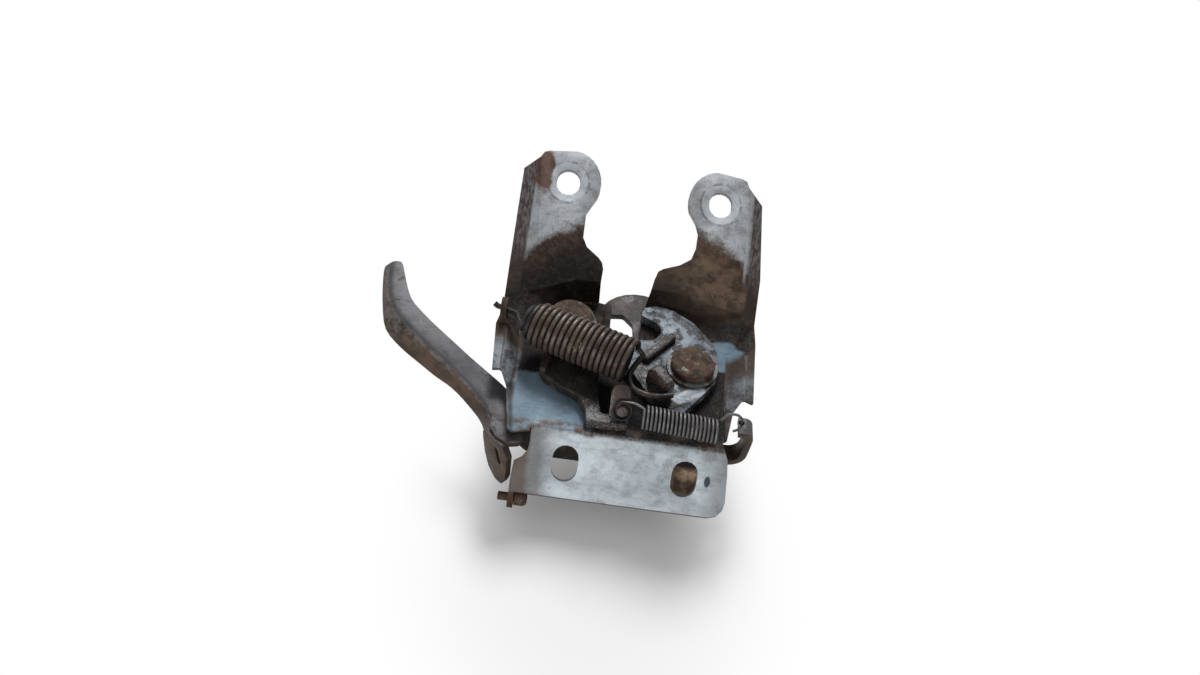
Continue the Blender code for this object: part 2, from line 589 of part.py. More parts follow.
# Safety lever
lever_low = LEVER_TOP - LEVER_T
hook = arc(4.0, 60.0, 15.6, 168, 28, 10)
lever_outline = rounded([
    (-11.6, 62.6, 1.5), (-9.4, 61.4, 1.0), (-6.0, 62.6, 1.0), (-2.0, 63.2, 1.6), (2.0, 59.0, 3.0),
    (2.6, 50.0, 3.0), (2.8, 36.0, 4.0), (7.0, 21.0, 8.0), (-6.0, 15.4, 6.0), (-28.0, 16.0, 6.0),
    (-42.0, 19.0, 2.0), (-46.0, 8.0, 2.0), (-34.0, 4.6, 3.0), (12.0, 4.0, 4.0), (31.0, 3.9, 3.0),
    (35.0, 7.4, 2.0), (35.0, 15.0, 4.0), (16.0, 21.0, 6.0),
    (10.4, 32.0, 6.0), (10.8, 42.0, 5.0),
], 3)
# the hook's round head replaces the two ends of the outline
lever_outline = lever_outline + [(17.2, 52.0)] + list(reversed(hook))
lever_solid = prism(lever_outline, lever_low, LEVER_TOP)
chamfer_rims(lever_solid, 0.25)
lever = finish("safety_lever", lever_solid, LEVER_STEEL)

# handle: a top web and a side face folded down from it, deep at the cheek beside the base
top_edge = [(-84.7, 61.4, 10.0), (-79.0, 45.0, 8.0), (-70.5, 34.5, 5.0), (-54.5, 24.3, 1.0),
            (-43.0, 17.6, LEVER_TOP), (-40.0, 14.0, LEVER_TOP)]
ridge = [(-90.4, 60.8, 10.0), (-84.6, 42.0, 8.0), (-74.6, 30.4, 5.0), (-60.3, 17.2, 1.0),
         (-49.2, 8.4, LEVER_TOP), (-42.2, -0.2, LEVER_TOP - 0.3)]
low_edge = [(-93.2, 61.6, 5.6), (-87.8, 37.2, 0.6), (-80.2, 31.4, -4.0), (-64.1, 18.4, -6.6),
            (-53.0, 10.6, -9.0), (-45.2, -2.4, -15.0)]
handle_faces = []
handle_folds = []
for k in range(5):
    handle_faces.append([ridge[k], ridge[k + 1], top_edge[k + 1], top_edge[k]])
    handle_faces.append([low_edge[k], low_edge[k + 1], ridge[k + 1], ridge[k]])
    handle_folds.append((ridge[k], ridge[k + 1]))
handle_faces = [[f[0], f[1], f[2]] for f in handle_faces] + [[f[0], f[2], f[3]] for f in handle_faces]
shell = sheet_object("handle_shell", handle_faces, handle_folds,
                     (0.5 * LEVER_T, 0.5 * LEVER_T, -0.85 * LEVER_T), LEVER_STEEL, 1.2)
carve(lever, shell, "UNION")

# cheek: the side face carried on down past the base, with its slanted slot
cheek_frame = Matrix.Translation((-43.6, -1.4, 0)) @ Matrix.Rotation(math.radians(-42), 4, "Z") @ UPRIGHT
cheek_outline = [(-4.0, -4.2, 1.0), (-4.6, -14.0, 2.0), (4.4, -20.6, 2.0), (8.2, -19.6, 2.0),
                 (8.4, -9.0, 3.0), (5.0, -3.6, 2.0)]
cheek = prism(rounded(cheek_outline), -1.2, 1.2, cheek_frame)
carve(lever, finish("cheek_plate", cheek, None), "UNION")
cheek_slot = rounded([(1.2, -6.4, 1.0), (3.0, -7.2, 1.0), (6.0, -12.6, 1.0), (4.2, -13.0, 1.0)])
cut(lever, "cheek_slot", cheek_slot, -4, 4, cheek_frame)

# right end: a strip stepped down behind the flange and curled up outside the base
strip_profile = [(26.0, lever_low + 0.05), (32.8, lever_low + 0.05), (34.6, -12.4), (38.4, -13.6)]
strip_profile += arc(39.4, -7.0, 6.6, -78, 0, 5)
strip_profile += [(46.2, -1.0)] + arc(42.6, 1.4, 3.6, 10, 96, 4) + [(40.4, 4.8)]
strip_low, strip_high = 7.0, 14.0


def band(centre_line, thickness):
    """The outline of a strip of even thickness on the left of a line of (x, z) points."""
    points = [Vector(p) for p in centre_line]
    inner = []
    for i, point in enumerate(points):
        before = (point - points[i - 1]).normalized() if i else (points[1] - point).normalized()
        after = (points[i + 1] - point).normalized() if i + 1 < len(points) else before
        normal = Vector((-before.y - after.y, before.x + after.x)).normalized()
        inner.append(point + normal * thickness / max(0.5, normal.dot(Vector((-before.y, before.x)))))
    return [tuple(p) for p in points] + [tuple(p) for p in reversed(inner)]


strip_frame = Matrix.Translation((0, strip_high, 0)) @ UPRIGHT
curl = finish("curl_strip", prism(band(strip_profile, LEVER_T), 0, strip_high - strip_low, strip_frame), None)
carve(lever, curl, "UNION")
cut(lever, "lip_hole", circle(*LIP_HOLE, 1.1, 12), 1.0, 9.0)
cut(lever, "lever_bore", circle(*LEVER_PIN, LEVER_PIN_R + RUN), -9, 2)


# Each moving piece gets its origin on its joint's axis
def put_origin(piece, pin):
    pivot = (Vector((pin[0], pin[1], 0.0)) - DATUM) * 0.001
    piece.data.transform(Matrix.Translation(-pivot))
    piece.location = pivot


put_origin(claw, CLAW_PIN)
put_origin(pawl, PAWL_PIN)
put_origin(lever, LEVER_PIN)
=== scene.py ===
# %% [markdown]
# # A used bonnet latch
# A bonnet latch holds a car's bonnet shut. A bar on the bonnet drops into the throat of a folded steel
# base, a claw turns and closes over it, and a pawl keeps the claw from turning back. This lesson takes the
# packed model of such a latch and gives it the looks of one that has spent years behind a radiator: pale
# zinc, brown dirt, old grease and rust. The model holds the sizes and the joints, so it is loaded first and
# is never changed. For the looks, each of its pieces is replaced by a copy with rounded edges or, where the
# real form is rounder than the model's, by a newly drawn piece.

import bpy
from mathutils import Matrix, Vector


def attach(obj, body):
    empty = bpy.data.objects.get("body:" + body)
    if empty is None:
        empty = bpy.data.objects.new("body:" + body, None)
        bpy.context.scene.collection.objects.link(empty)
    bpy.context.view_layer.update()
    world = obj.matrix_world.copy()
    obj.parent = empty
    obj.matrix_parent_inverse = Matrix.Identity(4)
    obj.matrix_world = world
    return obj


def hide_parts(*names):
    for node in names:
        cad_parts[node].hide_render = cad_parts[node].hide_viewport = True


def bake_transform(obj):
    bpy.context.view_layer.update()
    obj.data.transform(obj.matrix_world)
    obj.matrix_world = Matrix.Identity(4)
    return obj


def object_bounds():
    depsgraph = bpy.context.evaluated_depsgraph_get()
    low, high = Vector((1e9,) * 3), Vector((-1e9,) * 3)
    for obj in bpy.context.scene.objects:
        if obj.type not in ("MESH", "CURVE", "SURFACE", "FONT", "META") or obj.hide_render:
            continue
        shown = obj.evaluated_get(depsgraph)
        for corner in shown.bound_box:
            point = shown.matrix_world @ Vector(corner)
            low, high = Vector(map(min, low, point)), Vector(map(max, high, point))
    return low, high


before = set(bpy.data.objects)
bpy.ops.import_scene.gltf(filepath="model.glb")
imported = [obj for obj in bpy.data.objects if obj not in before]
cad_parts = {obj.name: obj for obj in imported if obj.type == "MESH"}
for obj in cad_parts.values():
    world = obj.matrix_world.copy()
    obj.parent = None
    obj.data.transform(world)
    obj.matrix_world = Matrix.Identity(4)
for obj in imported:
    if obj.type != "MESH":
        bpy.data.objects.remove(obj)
cad_low, cad_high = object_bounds()
print("size in mm:", [round((high - low) * 1000, 1) for low, high in zip(cad_low, cad_high)])

# %% [markdown]
# ## Where things are
# The drawing of the latch counts from the fold of its front flange, in millimetres. The frame counts in
# metres from the middle of that flange. One small function turns the first into the second, so that every
# form below can be drawn with the drawing's numbers. The finishes count in the frame's millimetres
# instead, because a shader reads the place of a point in the frame.

# %% From drawing millimetres to frame metres
import math

import bpy
from mathutils import Matrix, Vector

FLANGE_MIDDLE = Vector((3.7, -4.2781, -10.1972))
CLAW_PIN = (23.7, 34.0)


def at(x, y, z):
    """A point of the drawing, in the frame's metres."""
    return (Vector((x, y, z)) - FLANGE_MIDDLE) * 0.001


print("claw axis in the frame:", [round(c, 4) for c in at(*CLAW_PIN, 2.5)])

# %% [markdown]
# ## The camera first
# The latch was seen from above and in front, by a camera that was tilted a little to one side. The three
# directions below are the camera's right, up and back. Its middle lies beside the middle of the picture,
# and a small lens shift gives that.

# %% The camera
ELEVATION = math.radians(46.69)
AZIMUTH = math.radians(-5.38)
ROLL = math.radians(11.94)
EYE_DISTANCE = 0.3682

back = Vector((math.sin(AZIMUTH) * math.cos(ELEVATION), -math.cos(AZIMUTH) * math.cos(ELEVATION),
               math.sin(ELEVATION)))
right = Vector((math.cos(AZIMUTH), math.sin(AZIMUTH), 0.0))
up = back.cross(right)
camera_right = right * math.cos(ROLL) + up * math.sin(ROLL)
camera_up = up * math.cos(ROLL) - right * math.sin(ROLL)

lens = bpy.data.cameras.new("camera")
lens.lens = 30.5
lens.shift_x = -0.0231
lens.shift_y = 0.0075
lens.clip_start = 0.01
camera = bpy.data.objects.new("camera", lens)
bpy.context.scene.collection.objects.link(camera)
eye = at(0, 40, 5) + back * EYE_DISTANCE
camera.matrix_world = Matrix((
    (camera_right.x, camera_up.x, back.x, eye.x),
    (camera_right.y, camera_up.y, back.y, eye.y),
    (camera_right.z, camera_up.z, back.z, eye.z),
    (0, 0, 0, 1),
))
bpy.context.scene.camera = camera
print("camera at", [round(c, 3) for c in eye])

# %% [markdown]
# ## A short way to write a finish
# A finish is a tree of shader nodes. Written out in full, each node takes four or five lines, and the
# recipe gets lost. This helper places a node, feeds its inputs and gives back the socket that comes out,
# so that a finish reads from top to bottom like a recipe.

# %% A helper for shader nodes
class Nodes:
    """Places shader nodes in one tree. Each call gives back the socket that comes out."""

    def __init__(self, tree):
        self.nodes = tree.nodes
        self.links = tree.links

    def feed(self, socket, value):
        if isinstance(value, bpy.types.NodeSocket):
            self.links.new(value, socket)
        elif hasattr(value, "__len__"):
            socket.default_value = (*value, 1.0)[:len(socket.default_value)]
        else:
            socket.default_value = value

    def add(self, kind, inputs, **settings):
        node = self.nodes.new(kind)
        for name, value in settings.items():
            setattr(node, name, value)
        for name, value in inputs.items():
            self.feed(node.inputs[name], value)
        return node

    def math(self, operation, a, b=0.0, c=0.0):
        return self.add("ShaderNodeMath", {0: a, 1: b, 2: c}, operation=operation).outputs[0]

    def mix(self, factor, a, b):
        """A colour that goes from a to b with the factor."""
        return self.add("ShaderNodeMix", {0: factor, 6: a, 7: b}, data_type="RGBA").outputs[2]

    def between(self, factor, a, b):
        """A number that goes from a to b with the factor."""
        return self.add("ShaderNodeMix", {0: factor, 2: a, 3: b}).outputs[0]


print("node steps:", [step for step in vars(Nodes) if step[0] != "_"])

# %% [markdown]
# A mask is a number between 0 and 1 that says where a colour lies. Most masks here are made from a place
# or from noise, and a smooth climb turns either into a region with a soft border. These short calls are
# the ones that the finishes repeat.

# %% Masks, noise and places
class Recipe(Nodes):
    """The steps that a finish is written with."""

    def noise(self, where, scale, detail=4.0, roughness=0.55, distortion=0.0):
        return self.add("ShaderNodeTexNoise", {
            "Vector": where, "Scale": scale, "Detail": detail, "Roughness": roughness,
            "Distortion": distortion}).outputs["Fac"]

    def stretch(self, where, scale, turn=0.0):
        return self.add("ShaderNodeMapping", {
            "Vector": where, "Scale": scale, "Rotation": (0.0, 0.0, turn)}).outputs["Vector"]

    def rise(self, value, low, high):
        """0 below low, 1 above high, and a smooth climb in between. It falls where low is above high."""
        if low > high:
            return self.math("SUBTRACT", 1.0, self.rise(value, high, low))
        return self.add("ShaderNodeMapRange", {"Value": value, "From Min": low, "From Max": high},
                        interpolation_type="SMOOTHSTEP").outputs["Result"]

    def both(self, a, b):
        return self.math("MULTIPLY", a, b)

    def either(self, a, b):
        return self.math("MAXIMUM", a, b)

    def tint(self, colour, mask, strength, tint):
        """The colour with a tint laid on it, by a mask and a strength."""
        return self.mix(self.both(mask, strength), colour, tint)

    def frayed(self, value, wobble, share):
        """The value with a share of the wobble added, which frays the border of a mask."""
        return self.math("MULTIPLY_ADD", wobble, share, value)

    def length(self, a, b, share=1.0):
        """How far a point is, from its two distances. The second one's square counts by the share."""
        return self.math("SQRT", self.math("ADD", self.both(a, a), self.both(self.both(b, b), share)))

    def narrow(self):
        """How narrow a face is, in millimetres, as each finished piece notes it."""
        return self.add("ShaderNodeAttribute", {}, attribute_name="narrow").outputs["Fac"]

    def millimetres(self):
        """The piece's own coordinates in millimetres, whole and as x, y and z."""
        place = self.add("ShaderNodeTexCoord", {}).outputs["Object"]
        scaled = self.add("ShaderNodeVectorMath", {0: place, 1: (1000.0, 1000.0, 1000.0)},
                          operation="MULTIPLY").outputs[0]
        parts = self.add("ShaderNodeSeparateXYZ", {0: scaled}).outputs
        return scaled, parts[0], parts[1], parts[2]


print("recipe steps:", [step for step in vars(Recipe) if step[0] != "_"])

# %% [markdown]
# ## Effects that several finishes share
# Dirt, rust and the cloudy look of old zinc turn up on nearly every piece. Each is a node group with named
# inputs and outputs, built once. A group only makes colours and masks. The shader that uses them stays in
# the material.

# %% A helper for node groups
def effect(name, inputs, outputs):
    """A new node group. Gives the group, its recipe, and what comes in and goes out."""
    group = bpy.data.node_groups.new(name, "ShaderNodeTree")
    for label, kind, value in inputs:
        socket = group.interface.new_socket(label, in_out="INPUT", socket_type=kind)
        if value is not None:
            socket.default_value = value
    for label, kind in outputs:
        group.interface.new_socket(label, in_out="OUTPUT", socket_type=kind)
    entry = group.nodes.new("NodeGroupInput")
    leave = group.nodes.new("NodeGroupOutput")
    print("effect:", name)
    return group, Recipe(group), entry.outputs, leave.inputs


NUMBER, COLOUR, PLACE = "NodeSocketFloat", "NodeSocketColor", "NodeSocketVector"

# %% [markdown]
# Patches come from noise that is cut off at a level. The Amount input moves that level: at 0 nothing is
# covered, at 1 everything is. The cut is soft, and a second, finer noise frays the border.

# %% Patches with a frayed border
PATCHES, r, entry, leave = effect(
    "patches",
    [("Place", PLACE, None), ("Amount", NUMBER, 0.5), ("Scale", NUMBER, 0.1)],
    [("Mask", NUMBER)])
coarse = r.noise(entry["Place"], entry["Scale"], 5.0, 0.62)
fine = r.noise(entry["Place"], 1.3, 3.0, 0.7)
mixed = r.math("MULTIPLY_ADD", fine, 0.28, coarse)
level = r.math("ADD", mixed, r.math("MULTIPLY_ADD", entry["Amount"], 0.9, -0.45))
r.links.new(r.rise(level, 0.56, 0.72), leave["Mask"])

# %% [markdown]
# Old zinc is cloudy. Wide clouds, a fine speckle and slanting smears are added up, and the sum picks a
# colour between a light and a dark one. Each finish brings its own pair of colours.

# %% Cloudy zinc
CLOUDY, r, entry, leave = effect(
    "cloudy_zinc",
    [("Place", PLACE, None), ("Light", COLOUR, (0.5, 0.55, 0.6, 1)), ("Dark", COLOUR, (0.2, 0.22, 0.25, 1))],
    [("Colour", COLOUR), ("Shine", NUMBER)])
cloud = r.noise(entry["Place"], 0.16, 6.0, 0.6, 0.4)
speckle = r.noise(entry["Place"], 1.5, 4.0, 0.7)
smear = r.noise(r.stretch(entry["Place"], (0.35, 1.6, 1.0), 0.5), 0.6, 5.0, 0.6)
tone = r.math("ADD", r.math("MULTIPLY", cloud, 0.6), r.math("MULTIPLY_ADD", speckle, 0.22, 0.02))
tone = r.math("MULTIPLY_ADD", smear, 0.2, tone)
factor = r.rise(tone, 0.36, 0.62)
r.links.new(r.mix(factor, entry["Dark"], entry["Light"]), leave["Colour"])
r.links.new(r.between(speckle, 0.42, 0.62), leave["Shine"])

# %% [markdown]
# Rust isn't one colour. It runs from almost black through brown to a duller orange, and it is always
# rough. The group gives the colour alone, and each finish decides where the rust lies.

# %% Rust
RUST, r, entry, leave = effect("rust", [("Place", PLACE, None)], [("Colour", COLOUR), ("Grain", NUMBER)])
patch = r.noise(entry["Place"], 0.35, 6.0, 0.65, 0.6)
grain = r.noise(entry["Place"], 2.4, 4.0, 0.75)
brown = r.mix(r.rise(patch, 0.35, 0.62), (0.026, 0.016, 0.012), (0.085, 0.048, 0.030))
brown = r.mix(r.both(r.rise(patch, 0.52, 0.68), r.rise(grain, 0.45, 0.65)), brown, (0.15, 0.078, 0.038))
r.links.new(brown, leave["Colour"])
r.links.new(grain, leave["Grain"])

# %% [markdown]
# Grease that has caught years of dust is nearly black, with a soft gloss where it is wet and a grey-brown
# bloom where it has dried.

# %% Old grease
GREASE, r, entry, leave = effect(
    "old_grease", [("Place", PLACE, None)], [("Colour", COLOUR), ("Shine", NUMBER), ("Lumps", NUMBER)])
lumps = r.noise(entry["Place"], 0.55, 6.0, 0.6, 0.8)
dust = r.noise(entry["Place"], 0.22, 5.0, 0.7)
dried = r.rise(dust, 0.5, 0.68)
colour = r.mix(r.rise(lumps, 0.4, 0.65), (0.010, 0.0085, 0.008), (0.026, 0.021, 0.018))
r.links.new(r.mix(dried, colour, (0.050, 0.036, 0.028)), leave["Colour"])
r.links.new(r.between(dried, 0.32, 0.75), leave["Shine"])
r.links.new(lumps, leave["Lumps"])

# %% [markdown]
# Every finish starts the same way, with a new material, its shader and the place of each point. It ends by
# feeding a colour, how metallic and how rough the surface is, and a relief that tilts the light a little.
# A bump does that without more faces.

# %% Helpers for materials
def finish(name):
    """A new material: its recipe, its shader, and the position in millimetres."""
    made = bpy.data.materials.new(name)
    made.use_nodes = True
    recipe = Recipe(made.node_tree)
    shader = made.node_tree.nodes["Principled BSDF"]
    print("finish:", name)
    return made, recipe, shader, recipe.millimetres()


def use(recipe, group, **inputs):
    """Places a node group and gives its outputs."""
    node = recipe.nodes.new("ShaderNodeGroup")
    node.node_tree = group
    for label, value in inputs.items():
        recipe.feed(node.inputs[label], value)
    return node.outputs


def feed_surface(recipe, shader, colour, metallic, roughness):
    """Feeds the shader its colour and its two kinds of shine."""
    recipe.links.new(colour, shader.inputs["Base Color"])
    recipe.links.new(metallic, shader.inputs["Metallic"])
    recipe.links.new(roughness, shader.inputs["Roughness"])


def relief(recipe, shader, height, distance, strength=1.0):
    """Feeds a height, in units of the distance, to the shader's normal."""
    bump = recipe.add("ShaderNodeBump", {"Height": height, "Distance": distance, "Strength": strength})
    recipe.links.new(bump.outputs["Normal"], shader.inputs["Normal"])


# %% [markdown]
# ## The finish of the base
# The base is one zinc-plated sheet, and each part of it has aged in its own way. The ears and the front
# flange are bolted to the car and stayed pale. Below a slanting line the wings are brown and dark.
# The floor is blue-grey at its open front corner and black with grease under the mechanism. Each region is
# a mask made from the position, and a slow noise, the wobble, moves its border by up to 8 mm either way.

# %% The base sheet's regions
BASE_FINISH, r, shader, (place, x, y, z) = finish("base_zinc")
WOBBLE = 8.0
wobble = r.math("MULTIPLY_ADD", r.noise(place, 0.14, 7.0, 0.68), 2 * WOBBLE, -WOBBLE)
soft = r.noise(place, 0.22, 6.0, 0.65)
ragged = r.frayed(y, wobble, 0.4)

# the wings, the slanting line on them, the rust along it, and the wings' outer strips
wings = r.rise(y, 62.5, 66.5)
slant = r.math("MULTIPLY_ADD", r.math("ABSOLUTE", x), 0.58, y)
above = r.math("ADD", slant, r.math("ADD", wobble, -106.0))
clean_ear = r.rise(above, -2.5, 3.5)
halo = r.both(r.rise(above, -12.0, -0.5), r.rise(above, 8.0, 0.5))
outer = r.both(r.either(r.rise(x, -45.2, -46.4), r.rise(x, 38.6, 40.0)), r.rise(y, 58.0, 62.0))

# the flange hangs in front of the fold, and the walls stand at the sides
flange = r.both(r.rise(z, 10.4, 8.6), r.rise(y, 12.0, 9.0))
left_wall = r.both(r.rise(x, -40.6, -42.4), r.rise(y, 49.0, 45.0))
right_wall = r.both(r.rise(x, 32.6, 34.0), r.rise(y, 52.0, 46.0))

# the pale corner of the floor, in front of the mechanism, and a round patch behind the claw's rivet
corner = r.both(r.rise(ragged, 31.5, 29.5), r.rise(r.frayed(x, wobble, 0.3), -12.5, -15.0))
patch_far = r.length(r.math("ADD", x, -32.0), r.math("ADD", y, -50.0))
round_patch = r.rise(r.frayed(patch_far, wobble, 0.2), 8.0, 6.5)
print("the regions took", len(r.nodes), "nodes")

# %% [markdown]
# Below the line the wings are almost black on the left, and brown and beige on the right. They are darker
# beside the throat and low down, and rust shows where the dark part meets the clean zinc.

# %% The wings below the line
rust = use(r, RUST, Place=place)
beige_noise = r.noise(place, 0.2, 6.0, 0.62)
beige = r.mix(r.rise(beige_noise, 0.36, 0.64), (0.040, 0.027, 0.019), (0.125, 0.084, 0.056))
black_noise = r.noise(place, 0.4, 5.0, 0.6)
black = r.mix(r.rise(black_noise, 0.4, 0.7), (0.010, 0.008, 0.007), (0.026, 0.020, 0.016))
lower_wing = r.mix(r.rise(x, -12.0, -4.0), black, beige)
near_throat = r.both(r.rise(r.math("ADD", x, wobble), 24.0, 10.0), r.rise(x, 1.0, 3.0))
lower_wing = r.tint(lower_wing, near_throat, 0.6, (0.034, 0.023, 0.017))
low_down = r.both(r.rise(r.math("MULTIPLY_ADD", x, 0.28, ragged), 79.0, 74.0), r.rise(x, -4.0, 2.0))
lower_wing = r.tint(lower_wing, low_down, 0.8, (0.030, 0.021, 0.016))
lower_wing = r.tint(lower_wing, halo, 0.75, rust["Colour"])
print("with the dirt,", len(r.nodes), "nodes")

# %% [markdown]
# Long dark lines run down the ears, and the bolt heads have pressed a bright ring around each slot, with a
# dark line at its rim. The outer strips are folded back and dull, and the fold's ridge is worn bright.
# Both ears are alike, so their marks are placed by the distance from the middle of the latch.

# %% The ears
EAR_SLOT_X, EAR_SLOT_Y = 29.8, 104.7
EAR_FOLD_X = 41.6
from_middle = r.math("ABSOLUTE", r.math("ADD", x, FLANGE_MIDDLE.x))
lines = r.noise(r.stretch(place, (1.4, 0.10, 1.0), 0.03), 0.8, 4.0, 0.6)
ear_zinc = use(r, CLOUDY, Place=place, Light=(0.33, 0.35, 0.37), Dark=(0.165, 0.172, 0.18))
ear = r.tint(ear_zinc["Colour"], r.rise(lines, 0.56, 0.68), 0.45, (0.09, 0.09, 0.10))

hole_y = r.math("MULTIPLY", r.math("ADD", y, -EAR_SLOT_Y), 1.05)
hole_far = r.length(r.math("ADD", from_middle, -EAR_SLOT_X), hole_y)
pressed = r.both(r.rise(hole_far, 7.8, 7.2), r.rise(r.noise(place, 0.35, 4.0), 0.34, 0.5))
ear = r.tint(ear, pressed, 0.6, (0.46, 0.49, 0.52))
rim_line = r.both(r.rise(hole_far, 7.3, 7.7), r.rise(hole_far, 8.6, 8.1))
ear = r.mix(r.both(rim_line, r.rise(soft, 0.45, 0.6)), ear, (0.15, 0.15, 0.16))
wing_colour = r.mix(clean_ear, lower_wing, ear)

height_on_ear = r.math("ADD", y, wobble)
strip = r.mix(r.rise(lines, 0.40, 0.60), (0.045, 0.037, 0.036), (0.135, 0.120, 0.122))
strip = r.mix(r.rise(height_on_ear, 88.0, 72.0), strip, (0.035, 0.026, 0.022))
wing_colour = r.mix(outer, wing_colour, strip)
off_ridge = r.math("ABSOLUTE", r.math("SUBTRACT", from_middle, EAR_FOLD_X))
ridge_mark = r.both(r.rise(off_ridge, 0.75, 0.35), r.rise(height_on_ear, 74.0, 84.0))
wing_colour = r.tint(wing_colour, ridge_mark, 0.7, (0.30, 0.31, 0.33))
print("with the ears,", len(r.nodes), "nodes")

# %% [markdown]
# Under the mechanism the floor is black. Its open corner and one patch kept a blue-grey zinc. The side
# walls are pale and cloudy at the front and brown behind, and the right one is the duller of the two.

# %% The floor and the side walls
grease = use(r, GREASE, Place=place)
blue = use(r, CLOUDY, Place=place, Light=(0.155, 0.225, 0.285), Dark=(0.085, 0.125, 0.160))
floor_noise = r.noise(place, 1.1, 5.0, 0.7)
black_floor = r.mix(r.rise(floor_noise, 0.5, 0.7), (0.010, 0.008, 0.008), (0.040, 0.033, 0.030))
floor = r.mix(r.rise(y, 46.0, 36.0), grease["Colour"], black_floor)
floor = r.mix(r.either(corner, round_patch), floor, blue["Colour"])
wall = r.mix(r.rise(soft, 0.38, 0.6), (0.075, 0.078, 0.088), (0.26, 0.29, 0.32))
wall = r.tint(wall, right_wall, 0.55, (0.06, 0.055, 0.055))
wall = r.mix(r.rise(r.frayed(y, wobble, 0.6), 34.0, 42.0), wall, (0.055, 0.042, 0.034))
floor = r.mix(r.either(left_wall, right_wall), floor, wall)
colour = r.mix(wings, floor, wing_colour)
print("with the floor,", len(r.nodes), "nodes")

# %% [markdown]
# The flange is the palest part. Its two ends are dull, its rims are brown with dirt, and a small chip of the
# plating is missing beside the right slot.

# %% The flange
CHIP_X, CHIP_Z = 28.8, 0.1
light = use(r, CLOUDY, Place=place, Light=(0.53, 0.59, 0.63), Dark=(0.30, 0.325, 0.34))
colour = r.mix(flange, colour, light["Colour"])
left_dull = r.rise(r.frayed(x, wobble, 0.5), -22.5, -31.0)
left_rim = r.rise(r.frayed(x, wobble, 0.3), -32.0, -34.5)
right_dull = r.rise(r.frayed(x, wobble, 0.5), 24.0, 34.0)
chip_far = r.length(r.math("MULTIPLY", r.math("ADD", x, -CHIP_X), 1.5), r.math("ADD", z, -CHIP_Z))
chip = r.rise(r.frayed(chip_far, wobble, 0.1), 1.9, 1.3)
low_rim = r.rise(r.frayed(z, wobble, 0.2), -11.4, -14.2)
for mark, strength, mark_colour in (
        (left_dull, 0.85, (0.13, 0.125, 0.12)),
        (left_rim, 0.8, (0.085, 0.060, 0.045)),
        (right_dull, 0.45, (0.15, 0.15, 0.155)),
        (chip, 1.0, (0.035, 0.055, 0.080)),
        (low_rim, 0.6, (0.13, 0.10, 0.08))):
    colour = r.tint(colour, r.both(flange, mark), strength, mark_colour)
high_rim = r.both(r.rise(y, 11.0, 8.5), r.rise(r.frayed(z, wobble, 0.25), 8.4, 10.0))
colour = r.mix(r.both(high_rim, r.rise(soft, 0.42, 0.58)), colour, (0.085, 0.060, 0.046))
print("with the flange,", len(r.nodes), "nodes")

# %% [markdown]
# The spring's lug and the small tab at the flange's lower corner are brown all over. A thin brown film and
# rust freckles lie on everything, and one larger patch of rust sits at the left ear's outer corner.

# %% Rust and film
lug = r.both(r.rise(x, -46.5, -47.5), r.both(r.rise(y, 45.5, 46.5), r.rise(y, 58.0, 56.0)))
lug = r.both(lug, r.rise(z, 14.6, 16.0))
tab = r.rise(r.math("MULTIPLY_ADD", y, 0.25, r.frayed(z, wobble, 0.06)), -12.2, -13.2)
rusty_part = r.either(lug, tab)
colour = r.tint(colour, rusty_part, 0.9, rust["Colour"])
film = use(r, PATCHES, Place=place, Amount=0.36, Scale=0.12)["Mask"]
freckles = use(r, PATCHES, Place=place, Amount=0.20, Scale=0.32)["Mask"]
colour = r.tint(colour, film, 0.4, (0.10, 0.085, 0.075))
colour = r.tint(colour, freckles, 0.8, rust["Colour"])
corner_far = r.length(r.math("ADD", x, 43.0), r.math("ADD", y, -108.0), 0.2)
ear_rust = r.rise(r.frayed(corner_far, wobble, 0.35), 4.4, 2.8)
colour = r.mix(ear_rust, colour, r.mix(0.5, rust["Colour"], (0.085, 0.040, 0.028)))
print("with the rust,", len(r.nodes), "nodes")

# %% [markdown]
# A sheared edge has no plating, so it is brown, and its corners are rubbed lighter. Both are found by how
# narrow a face is, because only the edges have faces as narrow as the sheet is thick, and only the rounded
# corners have narrower ones. Last, the pale regions get the soft shine of zinc and the others the dullness
# of dirt.

# %% The edges and the shine
narrow = r.narrow()
edge_faces = r.both(r.both(r.rise(narrow, 1.75, 1.6), r.rise(narrow, 0.36, 0.42)), r.rise(y, 12.0, 15.0))
colour = r.tint(colour, edge_faces, 0.6, r.mix(0.5, rust["Colour"], (0.045, 0.038, 0.035)))
rubbed = r.both(r.rise(narrow, 0.42, 0.36), r.rise(lines, 0.45, 0.6))
colour = r.tint(colour, rubbed, 0.45, (0.22, 0.21, 0.21))

zinc_area = r.either(r.either(flange, r.both(wings, clean_ear)), r.both(r.rise(y, 68.0, 63.0), corner))
plated = r.both(zinc_area, r.math("SUBTRACT", 1.0, rusty_part))
pale = r.both(zinc_area, r.math("SUBTRACT", 1.0, r.either(freckles, rusty_part)))
feed_surface(r, shader, colour, r.both(pale, 0.25), r.between(pale, 0.66, light["Shine"]))
r.links.new(r.between(plated, 0.12, 0.35), shader.inputs["Specular IOR Level"])
grit = r.noise(place, 2.0, 4.0, 0.7)
height = r.between(pale, r.math("MULTIPLY_ADD", grease["Lumps"], 1.5, grit), r.math("MULTIPLY", grit, 0.25))
relief(r, shader, height, 0.00025, 0.8)
print("the base sheet's finish has", len(r.nodes), "nodes")

# %% [markdown]
# ## The claw's finish
# The claw is zinc that grease has run over. Grease lies around the spring's post, grease and painted shade
# lie along the rib, and painted shade in the colour of grease lies in two lines on the plate, along the jaw
# and along the edge below the rivet. One bright place is left clean. Each of those is the neighbourhood of a
# line between two points, so one helper makes them all.

# %% A mark along a line on the claw
CLAW_FINISH, r, shader, (place, x, y, z) = finish("claw_zinc_finish")
wobble = r.math("MULTIPLY_ADD", r.noise(place, 0.25, 6.0, 0.65), 8.0, -4.0)


